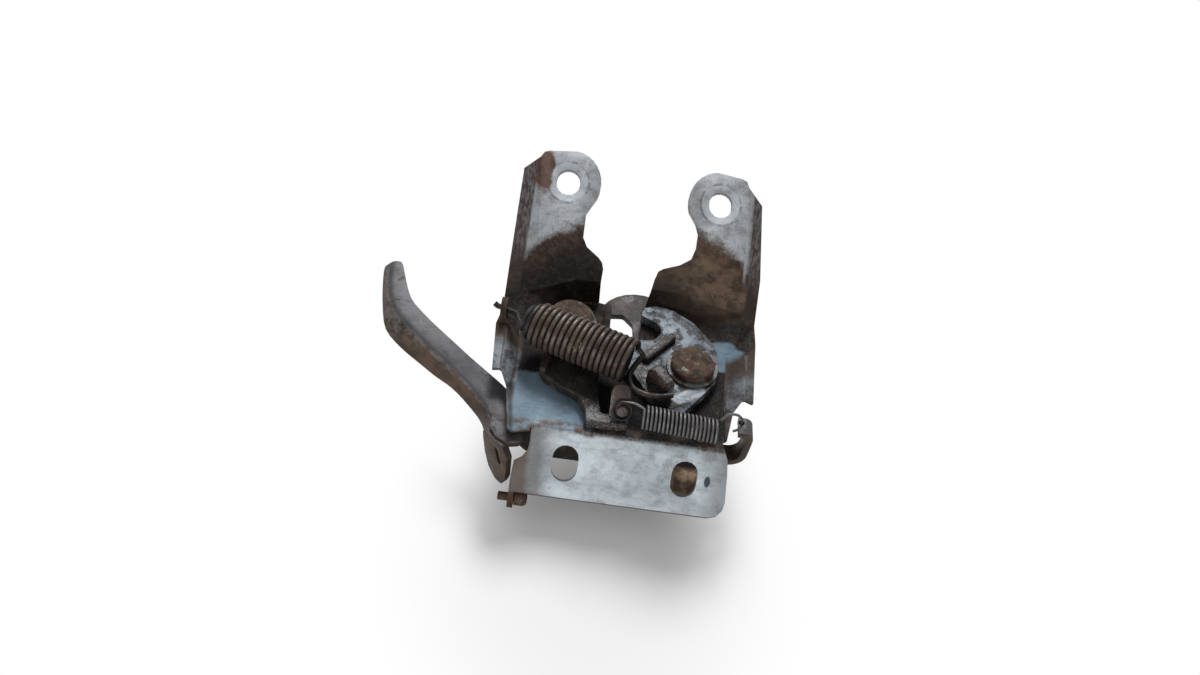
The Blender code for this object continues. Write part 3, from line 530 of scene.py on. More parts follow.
def near_line(x0, y0, x1, y1, reach):
    """1 on the line between two points of the plane and 0 beyond the reach, with a frayed border."""
    long = math.hypot(x1 - x0, y1 - y0)
    ux, uy = (x1 - x0) / long, (y1 - y0) / long
    dx = r.math("ADD", x, -x0)
    dy = r.math("ADD", y, -y0)
    along = r.math("ADD", r.both(dx, ux), r.both(dy, uy))
    past_end = r.math("SUBTRACT", along, r.math("MINIMUM", r.math("MAXIMUM", along, 0.0), long))
    beside = r.math("SUBTRACT", r.both(dx, uy), r.both(dy, ux))
    far = r.length(beside, past_end)
    return r.rise(r.frayed(far, wobble, 0.35), reach + 0.8, reach - 0.8)


# the rib's mark is grease and painted shade; the jaw's line and the line below the rivet are painted shade in
# the colour of grease
rib_grease_and_shade = near_line(2.5, 38.5, 14.0, 53.0, 2.4)
around_post = near_line(1.0, 32.0, 12.0, 23.0, 5.2)
jaw_shade = near_line(14.0, 62.0, 28.0, 52.0, 2.0)
edge_shade_line = near_line(15.4, 25.0, 27.5, 31.5, 0.9)
clean = near_line(15.5, 23.5, 23.0, 28.0, 2.2)
print("the marks took", len(r.nodes), "nodes")

# %% [markdown]
# Now the marks are laid on the zinc. White grains of salt lie around the post. The post is brown with a
# painted highlight along its top edge, and the plate's edges are darkened with painted shade.

# %% The claw's finish
zinc = use(r, CLOUDY, Place=place, Light=(0.155, 0.18, 0.205), Dark=(0.046, 0.05, 0.058))
grease = use(r, GREASE, Place=place)
rust = use(r, RUST, Place=place)
grease_and_shade = use(r, PATCHES, Place=place, Amount=0.43, Scale=0.2)["Mask"]
# this grease mask also carries the painted shade of the rib, the jaw and the edge below the rivet
grease_and_shade = r.either(r.either(r.either(rib_grease_and_shade, around_post), r.either(grease_and_shade, edge_shade_line)),
                   r.both(jaw_shade, 0.6))
colour = r.mix(grease_and_shade, zinc["Colour"], grease["Colour"])
colour = r.tint(colour, clean, 0.85, (0.40, 0.44, 0.48))
post_mark = r.rise(z, 16.5, 18.0)
colour = r.tint(colour, post_mark, 0.8, r.mix(0.6, (0.05, 0.037, 0.030), rust["Colour"]))
# a painted highlight along the post's top edge
post_top_highlight = r.both(r.rise(z, 21.6, 22.6), r.rise(r.noise(place, 0.9, 4.0), 0.45, 0.6))
colour = r.tint(colour, post_top_highlight, 0.8, (0.30, 0.28, 0.27))
freckles = use(r, PATCHES, Place=place, Amount=0.28, Scale=0.3)["Mask"]
colour = r.tint(colour, freckles, 0.6, rust["Colour"])
narrow = r.narrow()
# the claw's edges are darkened with painted shade
edge_faces = r.both(r.rise(narrow, 2.6, 2.2), r.rise(narrow, 0.36, 0.42))
colour = r.tint(colour, edge_faces, 0.6, (0.030, 0.026, 0.026))
salt = r.both(r.rise(r.noise(place, 2.6, 3.0, 0.6), 0.60, 0.66), near_line(1.0, 32.0, 13.0, 27.0, 5.0))
colour = r.tint(colour, salt, 0.85, (0.42, 0.42, 0.44))
roughness = r.between(grease_and_shade, zinc["Shine"], grease["Shine"])
feed_surface(r, shader, colour, r.between(grease_and_shade, 0.3, 0.05), roughness)
shader.inputs["Specular IOR Level"].default_value = 0.35
relief(r, shader, r.both(grease["Lumps"], r.math("ADD", grease_and_shade, 0.1)), 0.0006, 0.7)
print("the claw's finish has", len(r.nodes), "nodes")

# %% [markdown]
# ## The pawl's finish
# The pawl lies under the spring and is black with grease. A few places are bare, salt has gathered at its
# front, and the bent-up finger that holds the small spring is brown.

# %% The pawl's finish
PAWL_FINISH, r, shader, (place, x, y, z) = finish("pawl_grease")
grease = use(r, GREASE, Place=place)
rust = use(r, RUST, Place=place)
bare = use(r, PATCHES, Place=place, Amount=0.26, Scale=0.25)["Mask"]
colour = r.tint(grease["Colour"], bare, 0.5, (0.06, 0.055, 0.052))
salt = r.both(r.rise(r.noise(place, 2.6, 3.0, 0.6), 0.58, 0.64), r.rise(y, 17.0, 14.0))
colour = r.tint(colour, salt, 0.7, (0.36, 0.36, 0.38))
colour = r.tint(colour, r.rise(z, 15.0, 17.5), 0.75, r.mix(0.5, rust["Colour"], (0.05, 0.038, 0.03)))
feed_surface(r, shader, colour, r.between(bare, 0.15, 0.6), grease["Shine"])
relief(r, shader, grease["Lumps"], 0.0005, 0.7)
print("the pawl's finish has", len(r.nodes), "nodes")

# %% [markdown]
# ## Rivets and washers
# The rivets are brown with rust and worn bright in places, and the washers are worn over about half of
# their faces. The two differ in their bare colour and in how much is worn, so one function makes both.

# %% The rivets' and the washers' finish
def worn_rust(name, bare_colour, amount):
    """Rust with bare, worn places: more of them as the amount grows."""
    made, r, shader, (place, x, y, z) = finish(name)
    rust = use(r, RUST, Place=place)
    worn = use(r, PATCHES, Place=place, Amount=amount, Scale=0.28)["Mask"]
    colour = r.tint(rust["Colour"], worn, 0.85, bare_colour)
    feed_surface(r, shader, colour, r.between(worn, 0.1, 0.6), r.between(worn, 0.85, 0.5))
    relief(r, shader, rust["Grain"], 0.0003, 0.8)
    return made


RIVET_FINISH = worn_rust("rivet_rust", (0.26, 0.235, 0.205), 0.33)
WASHER_FINISH = worn_rust("washer_worn", (0.21, 0.215, 0.22), 0.50)

# %% [markdown]
# ## The safety lever's finish
# The lever's plating has gone. Where its handle faces up it is a dull grey, its sides are brown, and fingers
# have worn the ridge between them lighter. The part under the mechanism is greasy. The scooped end that shows
# in the right slot of the flange is painted a light beige, painted light that stands in for the light falling
# through the slot on its rusty brown.

# %% The safety lever's finish
LEVER_FINISH, r, shader, (place, x, y, z) = finish("lever_brown")
old = use(r, CLOUDY, Place=place, Light=(0.102, 0.099, 0.110), Dark=(0.048, 0.044, 0.045))
rust = use(r, RUST, Place=place)
grease = use(r, GREASE, Place=place)
side_noise = r.noise(place, 0.12, 5.0, 0.6)
tone = r.mix(r.rise(side_noise, 0.4, 0.65), (0.036, 0.022, 0.014), (0.088, 0.053, 0.033))
geometry = r.add("ShaderNodeNewGeometry", {})
facing = r.add("ShaderNodeSeparateXYZ", {0: geometry.outputs["Normal"]}).outputs[2]
top = r.rise(r.frayed(facing, r.noise(place, 0.3, 5.0), 0.3), 0.72, 0.95)
top = r.both(top, r.rise(z, 4.0, 7.0))
colour = r.mix(top, tone, old["Colour"])
spots = use(r, PATCHES, Place=place, Amount=0.34, Scale=0.2)["Mask"]
colour = r.tint(colour, spots, 0.75, rust["Colour"])

worn_ridge = r.both(r.both(r.rise(facing, 0.35, 0.6), r.rise(facing, 0.88, 0.7)), r.rise(x, -42.0, -46.0))
worn_ridge = r.both(worn_ridge, r.rise(r.noise(place, 0.4, 6.0, 0.65), 0.38, 0.62))
colour = r.tint(colour, worn_ridge, 0.75, (0.20, 0.185, 0.175))
inside = r.both(r.rise(x, -38.0, -34.0), r.rise(x, 36.0, 33.0))
greasy = use(r, PATCHES, Place=place, Amount=0.6, Scale=0.12)["Mask"]
colour = r.mix(r.both(inside, greasy), colour, grease["Colour"])
# painted light: the scoop's rusty brown is lifted to a light beige, for the light that falls through the slot
scoop_painted_light = r.both(r.rise(x, 8.0, 9.0), r.rise(x, 29.6, 29.0))
scoop_painted_light = r.both(scoop_painted_light, r.both(r.rise(y, 10.2, 8.6), r.rise(z, -3.0, -5.5)))
beige = r.mix(r.rise(r.noise(place, 0.35, 5.0), 0.4, 0.6), (0.20, 0.12, 0.075), (0.42, 0.30, 0.21))
colour = r.mix(scoop_painted_light, colour, beige)
feed_surface(r, shader, colour, r.between(spots, 0.45, 0.05), r.between(spots, 0.5, 0.85))
relief(r, shader, r.math("MULTIPLY_ADD", spots, 0.6, rust["Grain"]), 0.0002, 0.7)
print("the lever's finish has", len(r.nodes), "nodes")

# %% [markdown]
# ## The springs' finish
# A spring is dark between its turns, with grime and painted shade there, and worn along the outside, where a
# hand or a rag reaches. The distance from the spring's own axis tells the two apart, so the mask is a length
# worked out from the position. The heavy spring is rusty, and grease covers its end at the claw.

# %% The springs' sizes and finish
LIFT_FROM, LIFT_TO = at(-36.8, 38.5, 13.0), at(0.6, 25.2, 13.4)
LIFT_RADIUS, LIFT_PITCH, LIFT_WIRE = 0.0073, 0.00214, 0.001
RETURN_FROM, RETURN_TO = at(6.8, 6.6, 7.3), at(34.0, 5.4, 5.9)
RETURN_RADIUS, RETURN_PITCH, RETURN_WIRE = 0.0038, 0.0014, 0.00048


def spring_finish(name, start, end, radius, wire_radius, crest_colour, gap_grime_and_shade, rusty):
    """Worn turns, and gaps darkened with grime and painted shade, around the axis from start to end. rusty
    says how much of it has rusted.
    """
    made, r, shader, (place, x, y, z) = finish(name)
    begin = start * 1000.0
    along = (end - start).normalized()
    low, high = ((radius + share * wire_radius) * 1000.0 for share in (0.1, 0.9))
    offset = r.add("ShaderNodeVectorMath", {0: place, 1: tuple(-begin)}, operation="ADD").outputs[0]
    cross = r.add("ShaderNodeVectorMath", {0: offset, 1: tuple(along)}, operation="CROSS_PRODUCT").outputs[0]
    far = r.add("ShaderNodeVectorMath", {0: cross}, operation="LENGTH").outputs["Value"]
    crest = r.rise(far, low, high)
    rust = use(r, RUST, Place=place)
    worn = use(r, PATCHES, Place=place, Amount=0.5, Scale=0.3)["Mask"]
    from_start = r.frayed(r.math("ADD", x, -begin.x), r.noise(place, 0.2, 4.0), 14.0)
    greasy = r.both(r.rise(from_start, 26.0, 38.0), rusty)
    # the side of the wire that faces the axis gets the dark colour: grime and painted shade
    colour = r.mix(crest, gap_grime_and_shade, r.tint(crest_colour, greasy, 0.6, (0.045, 0.040, 0.038)))
    unworn = r.math("SUBTRACT", 1.0, worn)
    colour = r.tint(colour, unworn, rusty, r.mix(crest, gap_grime_and_shade, rust["Colour"]))
    feed_surface(r, shader, colour, r.between(crest, 0.2, 0.55), r.between(worn, 0.7, 0.42))
    relief(r, shader, rust["Grain"], 0.00015, 0.6)
    return made


LIFT_FINISH = spring_finish("lift_spring_rust", LIFT_FROM, LIFT_TO, LIFT_RADIUS, LIFT_WIRE,
                            (0.125, 0.100, 0.086), (0.012, 0.0095, 0.0085), 0.75)
RETURN_FINISH = spring_finish("return_spring_wire", RETURN_FROM, RETURN_TO, RETURN_RADIUS, RETURN_WIRE,
                              (0.18, 0.18, 0.185), (0.011, 0.010, 0.010), 0.3)

# %% [markdown]
# ## Softer copies of the pressed pieces
# The packed model's edges are perfectly sharp. A sheared and tumbled steel edge has a small round that
# catches the light. A CAD node is never changed, so each pressed piece is copied, its loose triangles are
# merged, a narrow bevel rounds its edges, and the copy stands in for the node. Each face also notes how
# narrow it is. The base's finish rusts and wears the narrow ones, and the claw's finish darkens them with
# painted shade.

# %% Pick, round and dress a piece
def pick(piece):
    """Makes one piece the active and only selected one."""
    bpy.ops.object.select_all(action="DESELECT")
    piece.select_set(True)
    bpy.context.view_layer.objects.active = piece


def round_edges(piece, width, angle=28.0):
    """Rounds the edges that are sharper than the angle, in degrees."""
    pick(piece)
    bevel = piece.modifiers.new("round", "BEVEL")
    bevel.width = width
    bevel.segments = 2
    bevel.limit_method = "ANGLE"
    bevel.angle_limit = math.radians(angle)
    bevel.use_clamp_overlap = True
    bpy.ops.object.modifier_apply(modifier="round")


def dressed(piece, body, surface, node=None):
    """Shades a piece smooth, notes how narrow its faces are, gives it its finish and body, and hides the
    model's node when one is named.
    """
    pick(piece)
    bpy.ops.object.shade_smooth_by_angle(angle=math.radians(40.0))
    narrow = piece.data.attributes.new("narrow", "FLOAT", "FACE")
    for face, value in zip(piece.data.polygons, narrow.data):
        around = [piece.data.vertices[i].co for i in face.vertices]
        rim = sum((a - b).length for a, b in zip(around, around[1:] + around[:1]))
        value.value = 2000.0 * face.area / rim
    piece.data.materials.clear()
    piece.data.materials.append(surface)
    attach(piece, body)
    if node:
        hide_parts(node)
    print(piece.name, "has", len(piece.data.polygons), "faces")


# %% [markdown]
# The safety lever is a special case. The front of the real one is rounder than the model's, so its copy is
# cut off where the handle starts, with a bisect that closes the cut, and the front is drawn further down.

# %% The soft copies
LEVER_CUT_X = -37.2


def softened(node, name, body, surface, width, keep_right_of=None):
    """A copy of a node with rounded edges, or only of what lies to the right of a place."""
    piece = bpy.data.objects.new(name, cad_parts[node].data.copy())
    bpy.context.scene.collection.objects.link(piece)
    pick(piece)
    bpy.ops.object.mode_set(mode="EDIT")
    bpy.ops.mesh.select_all(action="SELECT")
    bpy.ops.mesh.remove_doubles(threshold=0.000002)
    bpy.ops.mesh.dissolve_limited(angle_limit=math.radians(0.6))
    if keep_right_of is not None:
        bpy.ops.mesh.select_all(action="SELECT")
        bpy.ops.mesh.bisect(plane_co=at(keep_right_of, 0, 0), plane_no=(1, 0, 0), use_fill=True,
                            clear_inner=True)
    bpy.ops.object.mode_set(mode="OBJECT")
    round_edges(piece, width)
    dressed(piece, body, surface, node)


softened("base_plate", "base_sheet", "base", BASE_FINISH, 0.00030)
softened("pawl", "pawl_soft", "pawl", PAWL_FINISH, 0.00020)
softened("safety_lever", "safety_lever_soft", "safety_lever", LEVER_FINISH, 0.00028,
         LEVER_CUT_X)
for node in ("claw_rivet", "pawl_rivet", "lever_rivet", "tab_pin"):
    softened(node, node + "_soft", "base", RIVET_FINISH, 0.00025)
for node in ("claw_washer", "pawl_washer"):
    softened(node, node + "_soft", "base", WASHER_FINISH, 0.00012)

# %% [markdown]
# ## Plates from outlines
# The claw and the front of the safety lever are drawn again here with rounder outlines than the packed
# model has. Each is a few plates. An outline is a list of corners, and each corner has a radius that turns
# it into a curve.

# %% Outlines
def rounded(corners, steps=5):
    """A closed outline from corners (x, y, radius), each corner turned into a curve."""
    outline = []
    for i, (x, y, radius) in enumerate(corners):
        here = Vector((x, y))
        before = Vector(corners[i - 1][:2]) - here
        after = Vector(corners[(i + 1) % len(corners)][:2]) - here
        reach = min(radius / math.tan(before.angle(after) / 2), 0.48 * before.length, 0.48 * after.length)
        start = here + before.normalized() * reach
        end = here + after.normalized() * reach
        for k in range(steps + 1):
            t = k / steps
            outline.append(start * (1 - t) ** 2 + here * (2 * t * (1 - t)) + end * t ** 2)
    return outline


def ring_of(x, y, radius, count=40):
    """A round outline, for a hole."""
    steps = [2 * math.pi * k / count for k in range(count)]
    return [Vector((x + radius * math.cos(a), y + radius * math.sin(a))) for a in steps]


square = rounded([(0, 0, 1), (9, 0, 1), (9, 9, 1), (0, 9, 1)])
print("a square with round corners has", len(square), "points")

# %% [markdown]
# A plate starts as a flat curve: its rim, and its holes. The curve is filled, given its thickness and made
# a mesh. Then the mesh is turned and moved to its place, still in millimetres, and brought into the frame.
# The object itself stays at the origin, as the model's own nodes do.

# %% Plates
DRAWING = Matrix.Scale(0.001, 4) @ Matrix.Translation(-FLANGE_MIDDLE)
UPRIGHT = Matrix.Rotation(math.radians(90), 4, "X")


def standing(x, y, turn):
    """The place of an upright plate, at a point of the floor and turned about it by an angle in degrees."""
    return Matrix.Translation((x, y, 0)) @ Matrix.Rotation(math.radians(turn), 4, "Z") @ UPRIGHT


def plate(name, outlines, low, high, place=Matrix(), edge=0.25):
    """A plate between two heights of its own frame. The first outline is its rim, the others are holes."""
    curve = bpy.data.curves.new(name, "CURVE")
    curve.dimensions = "2D"
    curve.fill_mode = "BOTH"
    curve.extrude = 0.5 * (high - low)
    for outline in outlines:
        line = curve.splines.new("POLY")
        line.points.add(len(outline) - 1)
        for dot, spot in zip(line.points, outline):
            dot.co = (spot[0], spot[1], 0.0, 1.0)
        line.use_cyclic_u = True
    piece = bpy.data.objects.new(name, curve)
    bpy.context.scene.collection.objects.link(piece)
    pick(piece)
    bpy.ops.object.convert(target="MESH")
    piece = bpy.context.view_layer.objects.active
    bpy.ops.object.mode_set(mode="EDIT")
    bpy.ops.mesh.select_all(action="SELECT")
    bpy.ops.mesh.remove_doubles(threshold=0.001)
    bpy.ops.mesh.dissolve_limited(angle_limit=math.radians(0.5))
    bpy.ops.mesh.normals_make_consistent(inside=False)
    bpy.ops.object.mode_set(mode="OBJECT")
    piece.data.transform(Matrix.Translation((0, 0, 0.5 * (low + high))))
    round_edges(piece, edge)
    piece.data.transform(DRAWING @ place)
    print(name, "has", len(piece.data.polygons), "faces")
    return piece


# %% [markdown]
# ## The claw
# The claw is one pressing: a plate with a deep jaw, a post that is bent up for the heavy spring, and a rib
# that stiffens the arm between them. The three are drawn apart and joined, and the result stands in for
# the model's claw.

# %% The claw, its spring post and its rib
def joined(pieces, name):
    """One piece from several, under a new name."""
    pick(pieces[0])
    for piece in pieces[1:]:
        piece.select_set(True)
    bpy.ops.object.join()
    pieces[0].name = name
    return pieces[0]


CLAW_LOW, CLAW_HIGH = 0.6, 4.4
claw_rim = rounded([
    (5.0, 61.4, 1.2), (9.2, 63.6, 3.0), (16.0, 62.4, 5.0), (24.4, 57.0, 7.0), (32.4, 46.5, 7.0),
    (34.0, 38.0, 7.0), (32.4, 28.6, 5.0), (21.0, 12.8, 1.6), (15.4, 13.0, 1.4), (15.0, 17.6, 1.4),
    (9.0, 18.6, 3.0), (3.0, 27.6, 4.0), (-4.4, 35.6, 3.0), (-8.2, 38.5, 1.6), (-6.8, 42.0, 2.0),
    (-4.2, 46.3, 1.2), (-1.0, 46.4, 2.0), (2.6, 44.4, 4.0), (9.6, 45.4, 4.0), (12.8, 50.8, 4.0),
    (10.2, 54.6, 2.0), (4.2, 57.4, 1.2)])
claw_plate = plate("claw_plate", [claw_rim, ring_of(*CLAW_PIN, 4.06)], CLAW_LOW, CLAW_HIGH)

post_rim = rounded([
    (-5.2, 2.0, 0.1), (5.2, 2.0, 0.1), (5.6, 10.2, 1.6), (4.2, 12.0, 1.2), (-3.0, 12.8, 2.5),
    (-5.2, 9.6, 2.0)])
post = plate("claw_post", [post_rim], -1.5, 1.5, standing(12.0, 22.9, -46.5), 0.35)

rib_rim = rounded([(-8.8, -1.7, 1.4), (8.6, -1.5, 1.4), (8.6, 1.5, 1.4), (-8.8, 1.7, 1.4)])
rib_place = Matrix.Translation((11.4, 41.2, 0)) @ Matrix.Rotation(math.radians(51), 4, "Z")
rib = plate("claw_rib", [rib_rim], 1.0, 6.8, rib_place, 0.8)
claw = joined([claw_plate, post, rib], "claw_soft")
dressed(claw, "claw", CLAW_FINISH, "claw")

# %% [markdown]
# ## The safety lever's handle
# The handle is a folded sheet. Three lines run along it: the web's back edge, the ridge and the side's
# lower edge. Each is a smooth line through a few points of the drawing, and a sheet is made from rows of
# points across the lines.

# %% A smooth line and a folded sheet
def through(points, steps=6):
    """A smooth line through the points of the drawing, in the frame's metres."""
    ends = [at(*p) for p in points]
    padded = [ends[0] * 2 - ends[1], *ends, ends[-1] * 2 - ends[-2]]
    line = []
    for i in range(1, len(padded) - 2):
        a, b, c, d = padded[i - 1:i + 3]
        for k in range(steps):
            t = k / steps
            line.append(0.5 * ((2 * b) + (c - a) * t + (2 * a - 5 * b + 4 * c - d) * t * t
                               + (3 * b - a - 3 * c + d) * t ** 3))
    line.append(ends[-1])
    return line


def sheet(name, rows, thick, edge):
    """A sheet through rows of points, thickened downwards, with rounded edges."""
    wide = len(rows[0])
    corners = [tuple(spot) for row in rows for spot in row]
    faces = [(i * wide + j, i * wide + j + 1, (i + 1) * wide + j + 1, (i + 1) * wide + j)
             for i in range(len(rows) - 1) for j in range(wide - 1)]
    mesh = bpy.data.meshes.new(name)
    mesh.from_pydata(corners, [], faces)
    piece = bpy.data.objects.new(name, mesh)
    bpy.context.scene.collection.objects.link(piece)
    pick(piece)
    if sum(face.normal.z * face.area for face in mesh.polygons) < 0:
        mesh.flip_normals()
    solid = piece.modifiers.new("thick", "SOLIDIFY")
    solid.thickness = thick
    solid.offset = -1.0
    solid.use_even_offset = True
    bpy.ops.object.modifier_apply(modifier="thick")
    round_edges(piece, edge, 50.0)
    print(name, "has", len(piece.data.polygons), "faces")
    return piece


# %% [markdown]
# The fold twists and deepens from the handle's tip towards the base. At each station along the ridge the
# fold is softened to a small curve, which starts and ends 1.8 mm from the ridge.

# %% The handle
FOLD_REACH = 0.0018
SHEET_THICK = 0.0022
web_edge = through([
    (-86.6, 61.9, 9.9), (-85.3, 60.4, 9.8), (-82.9, 53.7, 9.4), (-80.6, 48.1, 8.6), (-77.8, 43.7, 8.0),
    (-70.3, 37.3, 6.4), (-62.4, 31.9, 4.4), (-54.6, 26.9, 2.0), (-46.9, 22.6, -0.6), (-40.6, 18.8, -2.8),
    (-37.6, 13.5, -2.8), (-36.0, 7.0, -2.8)], 3)
ridge = through([
    (-88.9, 62.0, 9.9), (-89.4, 60.6, 9.8), (-88.5, 52.4, 9.4), (-87.0, 45.9, 8.6), (-83.1, 39.0, 8.0),
    (-75.0, 31.6, 6.4), (-68.9, 26.7, 4.4), (-62.2, 22.6, 2.0), (-54.0, 17.0, -0.6), (-47.8, 11.3, -2.8),
    (-44.6, 5.9, -2.9), (-42.6, 0.2, -3.2)], 3)
side_edge = through([
    (-91.2, 61.9, 7.6), (-92.2, 60.4, 6.8), (-91.5, 54.2, 5.4), (-89.5, 44.5, 3.6), (-86.3, 34.8, 2.0),
    (-80.0, 29.6, -0.8), (-72.6, 25.1, -2.6), (-66.2, 21.3, -4.0), (-59.6, 18.1, -5.6), (-53.2, 13.4, -7.8),
    (-47.4, 7.7, -10.0), (-44.7, 1.7, -13.4)], 3)
rows = []
for web, fold, side in zip(web_edge, ridge, side_edge):
    near_web = fold + (web - fold).normalized() * FOLD_REACH
    near_side = fold + (side - fold).normalized() * FOLD_REACH
    curve = [near_web * (1 - t) ** 2 + fold * (2 * t * (1 - t)) + near_side * t ** 2
             for t in (0, 0.25, 0.5, 0.75, 1)]
    rows.append([web, *curve, side])
handle = sheet("lever_handle", rows, SHEET_THICK, 0.0004)

# %% [markdown]
# Below the handle the web turns a corner, and the cheek stands under it. The cheek has a slanted slot. The
# two pieces of the web overlap by a little, at slightly different heights, so that no two faces lie in one
# plane.

# %% The web's corner and the cheek
web_rim = rounded([
    (-42.0, 18.6, 2.0), (-45.6, 8.2, 2.0), (-42.0, 4.8, 2.0), (-34.0, 4.7, 0.2), (-34.0, 17.2, 0.2)])
web_patch = plate("lever_web", [web_rim], -5.08, -2.74)
corner_rim = rounded([
    (-44.0, 1.6, 0.6), (-41.6, -1.9, 0.6), (-37.4, -4.6, 1.2), (-33.2, -3.6, 1.6), (-31.5, 0.0, 1.0),
    (-31.5, 6.0, 0.5), (-44.0, 7.0, 0.5)])
corner_web = plate("lever_corner", [corner_rim], -5.06, -2.82)
cheek_rim = rounded([
    (-4.6, -4.4, 1.0), (-4.2, -8.4, 2.0), (-2.9, -15.0, 3.0), (-0.6, -21.0, 4.0), (3.2, -24.6, 3.0),
    (6.8, -24.2, 2.0), (8.2, -19.0, 3.0), (8.2, -8.0, 3.0), (5.4, -3.6, 1.5)])
cheek_slot = rounded([(1.4, -7.4, 0.8), (3.4, -7.9, 0.8), (5.7, -13.6, 0.8), (4.2, -14.4, 0.8)])
cheek = plate("lever_cheek", [cheek_rim, cheek_slot], -1.2, 1.2, standing(-42.0, -1.0, -42), 0.35)

# %% [markdown]
# A skirt hangs from the lever behind the flange and shows through the flange's slots. It has a notch for
# the lever's rivet, and its right part ends in a scoop that curves towards the viewer. All these pieces
# are one sheet on the real lever, so they are joined.

# %% The skirt and its scoop
SKIRT_Y = 3.74
SKIRT_THICK = 2.3
SCOOP_LEFT_X, SCOOP_RIGHT_X = 12.8, 32.7
skirt_rim = rounded([
    (-37.0, -4.0, 0.1), (-37.0, -10.0, 3.0), (-31.5, -16.4, 3.0), (-26.5, -18.6, 3.0), (8.0, -18.6, 4.0),
    (12.4, -13.4, 2.0), (32.9, -13.4, 0.2), (32.9, -8.0, 0.1), (23.2, -8.0, 0.4), (23.2, -4.0, 0.1)])
skirt = plate("lever_skirt", [skirt_rim], -SKIRT_Y - SKIRT_THICK, -SKIRT_Y, UPRIGHT, 0.3)
scoop_line = [(SKIRT_Y, -11.6), (SKIRT_Y, -14.2), (2.2, -17.4), (-0.4, -19.8), (-3.2, -21.4)]
scoop_left = through([(SCOOP_LEFT_X, y, z) for y, z in scoop_line], 3)
scoop_right = through([(SCOOP_RIGHT_X, y, z) for y, z in scoop_line], 3)
scoop_rows = [[a, a.lerp(b, 0.5), b] for a, b in zip(scoop_left, scoop_right)]
scoop = sheet("lever_scoop", scoop_rows, SHEET_THICK, 0.0003)
front = joined([handle, web_patch, corner_web, cheek, skirt, scoop], "safety_lever_front")
dressed(front, "safety_lever", LEVER_FINISH)

# %% [markdown]
# ## The springs
# A spring is one wire, so it is drawn as one curve through the middle of the wire: a hook, many turns and
# a hook again. The curve gets its thickness from its bevel depth and is then made a mesh. More sides and
# more points to a turn than in the packed model make it round from close by.

# %% A wire along a path
def wire(name, points, radius, surface, node=None):
    """A round wire through points of the frame."""
    curve = bpy.data.curves.new(name, "CURVE")
    curve.dimensions = "3D"
    curve.bevel_depth = radius
    curve.bevel_resolution = 3
    curve.use_fill_caps = True
    line = curve.splines.new("POLY")
    line.points.add(len(points) - 1)
    for dot, place in zip(line.points, points):
        dot.co = (*place, 1.0)
    piece = bpy.data.objects.new(name, curve)
    bpy.context.scene.collection.objects.link(piece)
    pick(piece)
    bpy.ops.object.convert(target="MESH")
    bpy.ops.object.mode_set(mode="EDIT")
    bpy.ops.mesh.select_all(action="SELECT")
    bpy.ops.mesh.remove_doubles(threshold=0.000001)
    bpy.ops.mesh.normals_make_consistent(inside=False)
    bpy.ops.object.mode_set(mode="OBJECT")
    bpy.ops.object.shade_smooth_by_angle(angle=math.radians(60.0))
    piece = bpy.context.view_layer.objects.active
    piece.data.materials.clear()
    piece.data.materials.append(surface)
    if node:
        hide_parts(node)
    print(name, "has", len(piece.data.polygons), "faces")
    return piece


# %% [markdown]
# The turns of a spring are a circle that moves along the spring's axis while it is drawn. The first turns
# are narrower where the wire comes in from its hook. The hook at the other end starts from the last turn, so
# that turn is read back in the drawing's millimetres.

# %% A coil
TURN_POINTS = 28


def coil(start, end, radius, pitch, turns, swell, handed, first):
    """The turns of a spring. swell is how wide the first turn is, as a share of the others."""
    axis = (end - start).normalized()
    beside = axis.cross(Vector((0, 0, 1))).normalized()
    line = []
    for k in range(int(turns * TURN_POINTS) + 1):
        turn = k / TURN_POINTS
        angle = first + handed * 2 * math.pi * turn
        wide = radius * min(1.0, swell + (1 - swell) * turn / 2.2)
        line.append(start + axis * (turn * pitch)
                    + (beside * math.cos(angle) + Vector((0, 0, math.sin(angle)))) * wide)
    return line


def in_drawing(spot):
    """A point of the frame, in the drawing's millimetres."""
    return spot * 1000 + FLANGE_MIDDLE


# %% [markdown]
# The heavy spring hooks into the base's lug and ends in a wide ring around the claw's post.

# %% The lift spring
lift_turns = int((LIFT_TO - LIFT_FROM).length / LIFT_PITCH * 16) / 16
turns = coil(LIFT_FROM, LIFT_TO, LIFT_RADIUS, LIFT_PITCH, lift_turns, 0.62, 1, 0.0)
last = in_drawing(turns[-1])
hook = through([(-49.6, 47.3, 10.1), (-48.2, 46.7, 9.5), (-46.0, 46.4, 9.4), (-43.6, 45.4, 9.2),
                (-41.0, 44.0, 9.8)])
ring = through([(last.x + 2.2, last.y - 1.6, last.z - 1.6), (2.6, 27.0, 9.6), (1.0, 22.4, 8.8),
                (2.6, 17.8, 8.6), (6.6, 15.6, 8.6), (11.6, 15.3, 8.6), (16.6, 16.6, 8.8)])
lift = wire("lift_spring_wire", [*hook, *turns, *ring], LIFT_WIRE, LIFT_FINISH,
            "lift_spring")
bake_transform(lift)

# %% [markdown]
# The light return spring hangs between two pieces that both move: the pawl's finger on the left and the
# curled end of the safety lever on the right. The wire is made in two halves that meet at the middle turn.

# %% The return spring, in two halves
FINGER = Vector((-1.4, 7.0, 3.0))
LEAN = Matrix.Rotation(math.radians(56), 3, "X")
LOOP_RADIUS = 3.2
LOOP_STEPS = 32
RETURN_TURNS = 18.75


def on_finger(x, y, z):
    """A point of the pawl's leaning finger, in the frame's metres."""
    return at(*(FINGER + LEAN @ Vector((x, y, z))))


